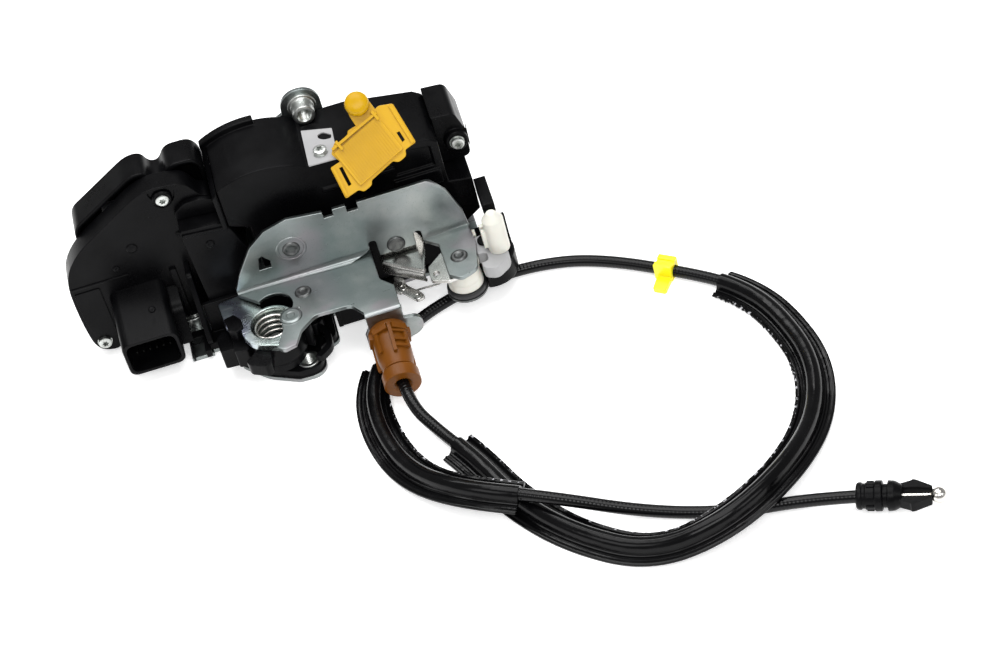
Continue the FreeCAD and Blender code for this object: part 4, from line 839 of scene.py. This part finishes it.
def level_frames(points):
    """Each point with its level side and upward direction."""
    frames = []
    for index, here in enumerate(points):
        ahead = (points[min(index + 1, len(points) - 1)] - points[max(index - 1, 0)]).normalized()
        side = ahead.cross(Vector(UP)).normalized()
        frames.append((here, side, side.cross(ahead)))
    return frames


def lengths(points):
    """Distance along the line at each point."""
    total = [0.0]
    for first, second in zip(points, points[1:]):
        total.append(total[-1] + (second - first).length)
    return total


def sweep(name, points, section_at, degrees=60.0):
    """Skin over the sections (across, up) that section_at gives for each point and its distance."""
    work = bmesh.new()
    rings = []
    distances = lengths(points)
    for (here, side, up), distance in zip(level_frames(points), distances):
        rings.append([work.verts.new(here + side * a + up * b) for a, b in section_at(here, side, distance)])
    count = len(rings[0])
    uv = work.loops.layers.uv.new("UVMap")
    for row, (first, second) in enumerate(zip(rings, rings[1:])):
        for index in range(count):
            following = (index + 1) % count
            face = work.faces.new((first[index], second[index], second[following], first[following]))
            corners = ((index, row), (index, row + 1), (index + 1, row + 1), (index + 1, row))
            for loop, (step, line) in zip(face.loops, corners):
                loop[uv].uv = (step / count, distances[line])
    work.faces.new(list(rings[0]))
    work.faces.new(list(reversed(rings[-1])))
    bmesh.ops.recalc_face_normals(work, faces=work.faces)
    return finished_mesh(work, name, degrees)


def circle(radius, sides):
    turn = 2.0 * pi / sides
    return [(radius * cos(turn * n), radius * sin(turn * n)) for n in range(sides)]


SPRING_RADIUS = 8.3
SPRING_WIRE = 0.72
SPRING_TURNS = 5
SPRING_LOW = 11.8
SPRING_HEIGHT = 15.2


def fork_spring():
    """Round-wire coil in the fork bolt's cup."""
    steps = 36
    points = []
    for index in range(SPRING_TURNS * steps + 1):
        angle = 2.0 * pi * index / steps
        rise = SPRING_LOW + SPRING_HEIGHT * index / (SPRING_TURNS * steps)
        points.append(Vector((SPRING_RADIUS * cos(angle), SPRING_RADIUS * sin(angle), rise)) * MM)
    return sweep("spring", points, lambda here, side, distance: circle(SPRING_WIRE * MM, 12))


add_piece("spring", fork_spring(), "housing", "spring_steel", "fork_spring")

WIRE_RADIUS = 0.5 * MM
wire_route = [Vector(point) * MM for point in (
    (67.6, 3.2, 18.2), (70, 2.4, 19), (73, 1.4, 19.8), (77.4, -0.2, 21), (79.4, -1, 22),
    (79.4, -1.6, 24.4))]
wire_mesh = sweep("wire", spline_points(wire_route, 10), lambda here, side, distance: circle(WIRE_RADIUS, 12))
add_piece("wire", wire_mesh, "release_lever", "bright_nickel", "link_wire")


# Cable: the route repeats the source's points, in millimetres

route = [Vector(point) * MM for point in (
    (49.5, -39.52, 13.28), (49.5, -58.34, 10.64), (59.5, -75, 4.3), (70.8, -95.5, 3.4), (82, -125, 3.4),
    (101, -153, 3.4), (129, -176, 3.4), (161, -179, 11.6), (194, -159.5, 11.6),
    (216, -129, 3.4), (225, -97, 3.4), (219, -62, 3.4), (208.5, -41.5, 3.4), (192.5, -25.5, 3.4),
    (152, 5, 2.8), (122, 13.5, 2.8), (93, 11.5, 2.8), (66, 2, 2.8), (47, -13, 3.4),
    (35, -35, 3.4), (33.5, -62, 3.4), (41.5, -91, 3.4), (60.5, -118.5, 12.6), (95, -137.5, 12),
    (134, -154.5, 2.8), (168, -168.5, 2.8), (198.4, -175.66, 5.3), (220.72, -184.47, 6.9),
)]
CABLE_RADIUS = 2.8 * MM
path = spline_points(route)

cable = add_piece(
    "cable", sweep("cable", path, lambda here, side, distance: circle(CABLE_RADIUS, 20)), "housing",
    "black_sheath", "cable_sheath")


# Snap-in end: ribbed body, two barbs, and the inner cable's ball

END_PLACE = Vector((217, -183, 6.9))
END_AHEAD = Vector((0.93, -0.367, 0)).normalized()


def end_fitting():
    """Ribbed body with eight grip bars, and two barbs beside the inner cable."""
    work = bmesh.new()
    spun(work, [(3.2, 0), (5.2, 0, 0.5), (5.8, 0.8, 0.4), (5.8, 2.2, 0.3), (5.3, 2.6), (5.3, 3.6),
                (5.8, 4, 0.3), (5.8, 7.6, 0.3), (6.5, 8, 0.3), (6.5, 10.8, 0.4), (5, 11.2), (5, 12.9),
                (6.5, 13.2, 0.4), (6.3, 15.9, 0.5), (4.6, 19, 0.4), (1.3, 19), (1.3, 4), (3.2, 4)],
         END_PLACE, END_AHEAD)
    level = END_AHEAD.cross(Vector(UP))
    for sign in (-1, 1):
        outline = [(2.3, 17.6), (4.5, 17.8), (6.3, 22.6), (6.9, 23), (6.5, 24.6), (3.2, 31.2), (1.9, 31.4),
                   (2.3, 26)]
        barb = prism(work, outline, -2.6, 2.6, lambda across, along, height: (
            END_PLACE + END_AHEAD * along + level * sign * across + Vector(UP) * height))
        bmesh.ops.bevel(work, geom=list({edge for face in barb for edge in face.edges}), offset=0.35 * MM,
                        segments=2, profile=0.6, affect="EDGES", clamp_overlap=True)
    for step in range(8):
        angle = 2.0 * pi * step / 8
        out = level * cos(angle) + Vector(UP) * sin(angle)
        across = END_AHEAD.cross(out)
        prism(work, [(4.4, -0.45), (7.4, -0.45), (7.4, 0.45), (4.4, 0.45)], 5.5, 6.3,
              lambda along, aside, reach: END_PLACE + END_AHEAD * along + across * aside + out * reach)
    return finished_mesh(work, "end_fitting")


BALL_RADIUS = 3.5
BALL_ALONG = 34.0


def ball_end():
    """Inner cable's end with its ball."""
    work = bmesh.new()
    rows = [(BALL_RADIUS * cos(radians(angle)), BALL_ALONG + BALL_RADIUS * sin(radians(angle)))
            for angle in range(-72, 90, 12)]
    spun(work, [(0, 6), (1, 6), (1, 30.4), (1.5, 30.55), *rows, (0, BALL_ALONG + BALL_RADIUS)],
         END_PLACE, END_AHEAD, 32)
    return finished_mesh(work, "ball_end")


fitting_piece = add_piece("end_fitting", end_fitting(), "housing", "black_plastic", "cable_end_fitting")
ball_piece = add_piece("ball_end", ball_end(), "cable_core", "spring_steel", "cable_core")


# Film sleeves: a round channel on the cable between two ridged fins, the inner one creased

LOOP_MIDDLE = Vector((135, -85, 0)) * MM
SLEEVE_SIDE = [
    (9, -3.25), (9, -2.5), (8.6, -2.2), (7.9, -2.2), (7.3, -1.5), (6.7, -1.5), (6.1, -2.2), (5.3, -2.2),
    (4.9, -1.5), (4.4, -1.4), (4, -0.8), (3.75, 0.4), (3.3, 1.8), (2.5, 2.8), (1.3, 3.5)]
FIN_ROOT = 4.6
FIN_WIDTH = 4.4
FIN_LIFT = 0.16
FIN_WAVE = 0.12
OUTER_WAVE = 0.05
CRIMP_RISE = 0.9
CRIMP_PULL = 0.5
FOLD_RUN = 70.0 * MM
WAVES_PER_MM = 0.03
CRIMPS_PER_MM = 0.71


def sleeve(name, first, last, fold, seed):
    """Sleeve over the run of path points, with its inner fin folded up by fold degrees at its start."""
    stretch = path[first:last + 1]
    outline = SLEEVE_SIDE + [(0.0, 3.75)] + [(-a, b) for a, b in reversed(SLEEVE_SIDE)]
    outline += [(-5.0, -3.25), (0.0, -3.25), (5.0, -3.25)]

    def section(here, side, distance):
        inner = 1.0 if (LOOP_MIDDLE - here).dot(side) > 0.0 else -1.0
        wave = noise.noise(Vector((distance / MM * WAVES_PER_MM, seed, 0.0)))
        crimp = noise.noise(Vector((distance / MM * CRIMPS_PER_MM, seed + 9.0, 0.0)))
        angle = radians(fold) * max(0.0, 1.0 - distance / FOLD_RUN)
        points = []
        for a, b in outline:
            reach = max(0.0, a * inner - FIN_ROOT)
            outer = max(0.0, -a * inner - FIN_ROOT)
            edge = (reach / FIN_WIDTH) ** 2
            across = a - inner * edge * CRIMP_PULL * (1.0 + crimp)
            up = b + reach * (FIN_LIFT + FIN_WAVE * wave) + edge * CRIMP_RISE * crimp
            up += outer * OUTER_WAVE * (1.0 + wave)
            if reach > 0.0:
                turned_in = abs(across) - FIN_ROOT
                across = inner * (FIN_ROOT + turned_in * cos(angle))
                up += turned_in * sin(angle)
            points.append((across * MM, up * MM))
        return points

    return sweep(name, stretch, section, 40.0)


def nearest(x, y):
    """Index of the path point nearest to a place on the floor, in millimetres."""
    place = Vector((x, y)) * MM
    return min(range(len(path)), key=lambda index: (path[index].xy - place).length)


sleeve_pieces = [
    add_piece("sleeve_near", sleeve("sleeve_near", nearest(40.5, -24), nearest(84, -131.5), 62, 3), "housing",
              "black_film", "cable_sleeve_near"),
    add_piece("sleeve_far", sleeve("sleeve_far", nearest(65, -85), nearest(201, -33.5), 20, 17), "housing",
              "black_film", "cable_sleeve_far")]


# Repeated pieces from Geometry Nodes

class Tree:
    """One Geometry Nodes tree with named sizes. Its nodes all come from node()."""

    def __init__(self, name, **sizes):
        self.group = bpy.data.node_groups.new(name, "GeometryNodeTree")
        self.group.interface.new_socket("Geometry", in_out="INPUT", socket_type="NodeSocketGeometry")
        self.group.interface.new_socket("Geometry", in_out="OUTPUT", socket_type="NodeSocketGeometry")
        self.sizes = sizes
        for label in sizes:
            self.group.interface.new_socket(label, in_out="INPUT", socket_type="NodeSocketFloat")
        self.start = self.group.nodes.new("NodeGroupInput")

    def node(self, kind, settings=None, sockets=None, out=0):
        made = self.group.nodes.new(kind)
        for name, value in (settings or {}).items():
            setattr(made, name, value)
        for name, value in (sockets or {}).items():
            for part in value if isinstance(value, list) else [value]:
                if isinstance(part, bpy.types.NodeSocket):
                    self.group.links.new(part, made.inputs[name])
                else:
                    made.inputs[name].default_value = part
        return made.outputs[out]

    def size(self, label):
        return self.start.outputs[label]

    def mesh(self, shape, slot, points):
        """Ends the tree and runs it on a mesh of points, each with the direction it faces."""
        real = self.node("GeometryNodeRealizeInstances", {}, {"Geometry": shape})
        done = self.node("GeometryNodeSetMaterial", {}, {"Geometry": real, "Material": finishes[slot]})
        finish = self.group.nodes.new("NodeGroupOutput")
        self.group.links.new(done, finish.inputs["Geometry"])
        base = bpy.data.meshes.new("places")
        base.from_pydata([tuple(Vector(place) * MM) for place, direction in points], [], [])
        facing = base.attributes.new("facing", "FLOAT_VECTOR", "POINT")
        for row, (place, direction) in zip(facing.data, points):
            row.vector = direction
        holder = new_object("holder", base)
        modifier = holder.modifiers.new("tree", "NODES")
        modifier.node_group = self.group
        for item in self.group.interface.items_tree:
            if item.in_out == "INPUT" and item.name in self.sizes:
                modifier[item.identifier] = self.sizes[item.name]
        mesh = evaluated(holder)
        bpy.data.objects.remove(holder)
        smooth(mesh)
        return mesh


SCREW_HEIGHT = 2.5
STAR_INNER = 0.62
# Steps of a screw's head: shares of its radius below and above, and start and height in millimetres
SCREW_STEPS = ((1.0, 1.0, 0.0, 0.5), (0.9, 0.88, 0.5, 1.5), (0.88, 0.66, 2.0, 0.5))


def star_screws(points):
    """Collared pan screws with a six-pointed recess."""
    tree = Tree("star_screws", **{"Head radius": 3.5 * MM, "Star radius": 1.75 * MM, "Star depth": 1.7 * MM})
    parts = []
    for low, high, start, height in SCREW_STEPS:
        bottom = tree.node("ShaderNodeMath", {"operation": "MULTIPLY"}, {0: tree.size("Head radius"), 1: low})
        top = tree.node("ShaderNodeMath", {"operation": "MULTIPLY"}, {0: tree.size("Head radius"), 1: high})
        cone = tree.node("GeometryNodeMeshCone", {}, {
            "Vertices": 32, "Radius Bottom": bottom, "Radius Top": top, "Depth": height * MM})
        parts.append(tree.node("GeometryNodeTransform", {}, {
            "Geometry": cone, "Translation": (0.0, 0.0, start * MM)}))
    head = tree.node("GeometryNodeMeshBoolean", {"operation": "UNION"}, {"Mesh 2": parts})
    inner = tree.node("ShaderNodeMath", {"operation": "MULTIPLY"}, {
        0: tree.size("Star radius"), 1: STAR_INNER})
    star = tree.node("GeometryNodeCurveStar", {}, {
        "Points": 6, "Inner Radius": inner, "Outer Radius": tree.size("Star radius")})
    floor = tree.node("ShaderNodeMath", {"operation": "SUBTRACT"}, {
        0: SCREW_HEIGHT * MM, 1: tree.size("Star depth")})
    start = tree.node("ShaderNodeCombineXYZ", {}, {"Z": floor})
    line = tree.node("GeometryNodeCurvePrimitiveLine", {}, {"Start": start, "End": (0.0, 0.0, 4.0 * MM)})
    tool = tree.node("GeometryNodeCurveToMesh", {}, {"Curve": line, "Profile Curve": star, "Fill Caps": True})
    screw = tree.node("GeometryNodeMeshBoolean", {"operation": "DIFFERENCE"}, {
        "Mesh 1": head, "Mesh 2": [tool]})
    facing = tree.node("GeometryNodeInputNamedAttribute", {"data_type": "FLOAT_VECTOR"}, {"Name": "facing"})
    turn = tree.node("FunctionNodeAlignRotationToVector", {"axis": "Z"}, {"Vector": facing})
    placed = tree.node("GeometryNodeInstanceOnPoints", {}, {
        "Points": tree.start.outputs["Geometry"], "Instance": screw, "Rotation": turn})
    return tree.mesh(placed, "screw_zinc", points)


screw_mesh = star_screws((
    ((-31.0, 44.2, 80.2), FRONT), ((-79.8, 43.0, 8.6), FRONT), ((105.0, 43.0, 63.0), FRONT),
    ((44.0, 38.0, 84.2), UP)))
add_piece("screws", screw_mesh, "housing", "screw_zinc", "cover_screw_upper", "cover_screw_lower",
          "end_cover_screw", "tag_screw")


# Rod clip and tag plate

CLIP_PIVOT = Vector((66, 46, 98))
CLIP_LEAN = Matrix.Rotation(radians(45), 4, "X")
CLIP_TURN = Matrix.Rotation(radians(23.3), 4, "Z")
CLIP_FROM_PIVOT = (1, -20.5)


def clip_place(x, y, z):
    """Millimetre place of a point drawn on the clip's flat plate."""
    flat = CLIP_TURN @ Vector((x, y, 0)) + Vector((*CLIP_FROM_PIVOT, z))
    return CLIP_PIVOT + CLIP_LEAN @ flat


def clip_body():
    """Rod clip: ribbed panel with a slotted wing at each end, rounded feet, and a dome on the pivot."""
    work = bmesh.new()

    def plate(target, outline, low, high):
        prism(target, outline, low, high, clip_place)

    plate(work, [(-20.4, 5, 0.8), (-15.2, 4.4, 0.5), (-16.2, 9.4, 1), (-11.7, 12.6, 0.8), (-10.4, 11.3, 0.5),
           (-4.9, 11.5, 0.5), (-3.6, 12.8, 0.8), (5.8, 11.4, 0.5), (14, 12.6, 1), (19.8, 9.2, 1),
           (16.6, -10.9, 1), (10.6, -10.4, 0.8), (9.4, -12.9, 1.6), (4.7, -12.9, 1.6), (3.1, -10.8, 0.6),
           (-9.8, -11.3, 0.6), (-11, -13, 1.2), (-15.6, -13, 1.2), (-17.1, -10.8, 0.6), (-24, -10.1, 1)],
          1, 2.2)
    slots = bmesh.new()
    plate(slots, [(-17.4, 2.4), (-15.9, 2), (-17.9, -6.8), (-19.4, -6.6)], -1, 3)
    plate(slots, [(12.6, -2), (14, -2.4), (13.4, -6.9), (11.9, -7)], -1, 3)
    work = carved(work, slots)
    for outline, low, high in (
            ([(-14.9, 9, 1), (10.9, 9.4, 1), (10.4, -9.6, 1), (-15.4, -10, 1)], 2, 3.4),
            ([(-20, 4.4, 0.4), (-18.6, 4.2, 0.4), (-22, -9.4, 0.4), (-23.4, -9.4, 0.4)], 2, 3.2),
            ([(17.4, 9.6, 0.4), (19.2, 8.8, 0.4), (16.1, -10.3, 0.4), (14.6, -10.2, 0.4)], 2, 3.2),
            ([(-14.6, 11.2, 0.4), (11.4, 11.2, 0.4), (11.4, 9.9, 0.4), (-14.6, 9.9, 0.4)], 2, 4.6),
            ([(-11.6, 12.4, 0.4), (-10.2, 12.4, 0.4), (-10.2, 7.4, 0.4), (-11.6, 7.4, 0.4)], 2, 5),
            ([(9.4, 12.4, 0.4), (10.8, 12.4, 0.4), (10.8, 7.4, 0.4), (9.4, 7.4, 0.4)], 2, 5),
            ([(0.4, 11), (1.6, 21, 4), (12.6, 20, 4), (12, 11)], 0, 2.4)):
        plate(work, outline, low, high)
    ease(work, 0.25, 50)
    spun(work, [(0, -9), (1.95, -9), (1.95, 1.8), (5.6, 1.8), (5.6, 5.6, 0.8), (5, 7, 1.2), (3.4, 8, 1),
                (0, 8.4)], CLIP_PIVOT, CLIP_LEAN @ Vector(UP))
    return finished_mesh(work, "clip_body", 30)


add_piece("clip_body", clip_body(), "rod_clip", "orange_yellow_plastic", "rod_clip")
RIB_COUNT = 19
RIB_PITCH = 1.25
RIB_WIDTH, RIB_LENGTH, RIB_HEIGHT = 0.55, 17.6, 0.7
RIBS_MIDDLE = (-2.1, -0.4, 3.5)
RIBS_TURN = radians(-2)


def clip_ribs():
    """Row of slim ribs on the clip's panel, set out from the middle of the row."""
    tree = Tree("clip_ribs", **{"Pitch": RIB_PITCH * MM, "Rib length": RIB_LENGTH * MM})
    step = tree.node("ShaderNodeCombineXYZ", {}, {"X": tree.size("Pitch")})
    line = tree.node("GeometryNodeMeshLine", {}, {"Count": RIB_COUNT, "Offset": step})
    size = tree.node("ShaderNodeCombineXYZ", {}, {
        "X": RIB_WIDTH * MM, "Y": tree.size("Rib length"), "Z": RIB_HEIGHT * MM})
    rib = tree.node("GeometryNodeMeshCube", {}, {"Size": size})
    placed = tree.node("GeometryNodeInstanceOnPoints", {}, {"Points": line, "Instance": rib})
    mesh = tree.mesh(placed, "orange_yellow_plastic", [((0, 0, 0), UP)])
    mesh.transform(Matrix.Translation(Vector((-0.5 * RIB_PITCH * (RIB_COUNT - 1), 0, 0)) * MM))
    mesh.transform(Matrix.Translation(clip_place(*RIBS_MIDDLE) * MM) @ CLIP_LEAN @ CLIP_TURN
                   @ Matrix.Rotation(RIBS_TURN, 4, "Z"))
    return mesh


add_piece("clip_ribs", clip_ribs(), "rod_clip", "orange_yellow_plastic")


def tag():
    """Small tag plate with a drop-shaped hole."""
    work = bmesh.new()
    prism(work, [(37.9, 57.1, 0.5), (51.9, 52.6, 0.5), (51.4, 40.9, 1), (50.3, 30.9, 0.5), (37.2, 31.5, 0.5)],
          83.4, 84.2)
    holes = bmesh.new()
    prism(holes, [(44.6, 50.6, 1), (47.2, 51.8, 1), (50.9, 48.2, 0.6), (50.4, 45.8, 0.8), (47, 46, 1.4),
                  (44.6, 48.2, 1.2)], 80, 90)
    work = carved(work, holes)
    ease(work, 0.12, 50)
    return finished_mesh(work, "tag")


add_piece("tag", tag(), "housing", "grey_plastic", "tag_plate")

for node, shape in frame["nodes"].items():
    shape.data.materials.clear()
    shape.data.materials.append(finishes[slot_of[node]])


# Floor and soft studio light

FLOOR_DROP = 0.1 * MM


def add_floor():
    """Pale floor, a hair under the object."""
    work = bmesh.new()
    bmesh.ops.create_grid(work, x_segments=1, y_segments=1, size=4.0)
    floor = new_object("floor", plain_mesh(work, "floor"))
    floor.location = (0.0, 0.0, -FLOOR_DROP)
    finish = Finish("floor")
    finish.set(base_color=(0.92, 0.92, 0.92), roughness=0.8, specular_ior_level=0.1,
               emission_color=(1.0, 1.0, 1.0), emission_strength=0.48)
    floor.data.materials.append(finish.material)


# Soft boxes: place from the object's middle and size in metres, and power in watts
LIGHTS = {
    "overhead": ((0.05, 0.1, 1.2), (1.1, 0.9), 13.0),
    "back_strip": ((-0.1, 0.75, 0.95), (1.3, 0.16), 5.0),
    "front_strip": ((0.05, -0.8, 0.85), (0.8, 0.4), 6.0),
    "left_front": ((-0.9, -0.5, 0.8), (0.5, 0.5), 2.5),
    "right_front": ((0.8, -0.7, 0.6), (0.4, 0.4), 1.6),
}

WORLD_LIGHT = 0.33

add_floor()
middle = (cad_low + cad_high) / 2.0
for name, (place, size, power) in LIGHTS.items():
    data = bpy.data.lights.new(name, "AREA")
    data.shape = "RECTANGLE"
    data.size, data.size_y = size
    data.energy = power
    light = new_object(name, data)
    light.location = middle + Vector(place)
    light.rotation_euler = (-Vector(place)).to_track_quat("-Z", "Y").to_euler()
world = bpy.data.worlds.new("studio")
world.use_nodes = True
background = world.node_tree.nodes["Background"]
background.inputs["Color"].default_value = (1.0, 1.0, 1.0, 1.0)
background.inputs["Strength"].default_value = WORLD_LIGHT
scene.world = world
scene.view_settings.view_transform = "Standard"
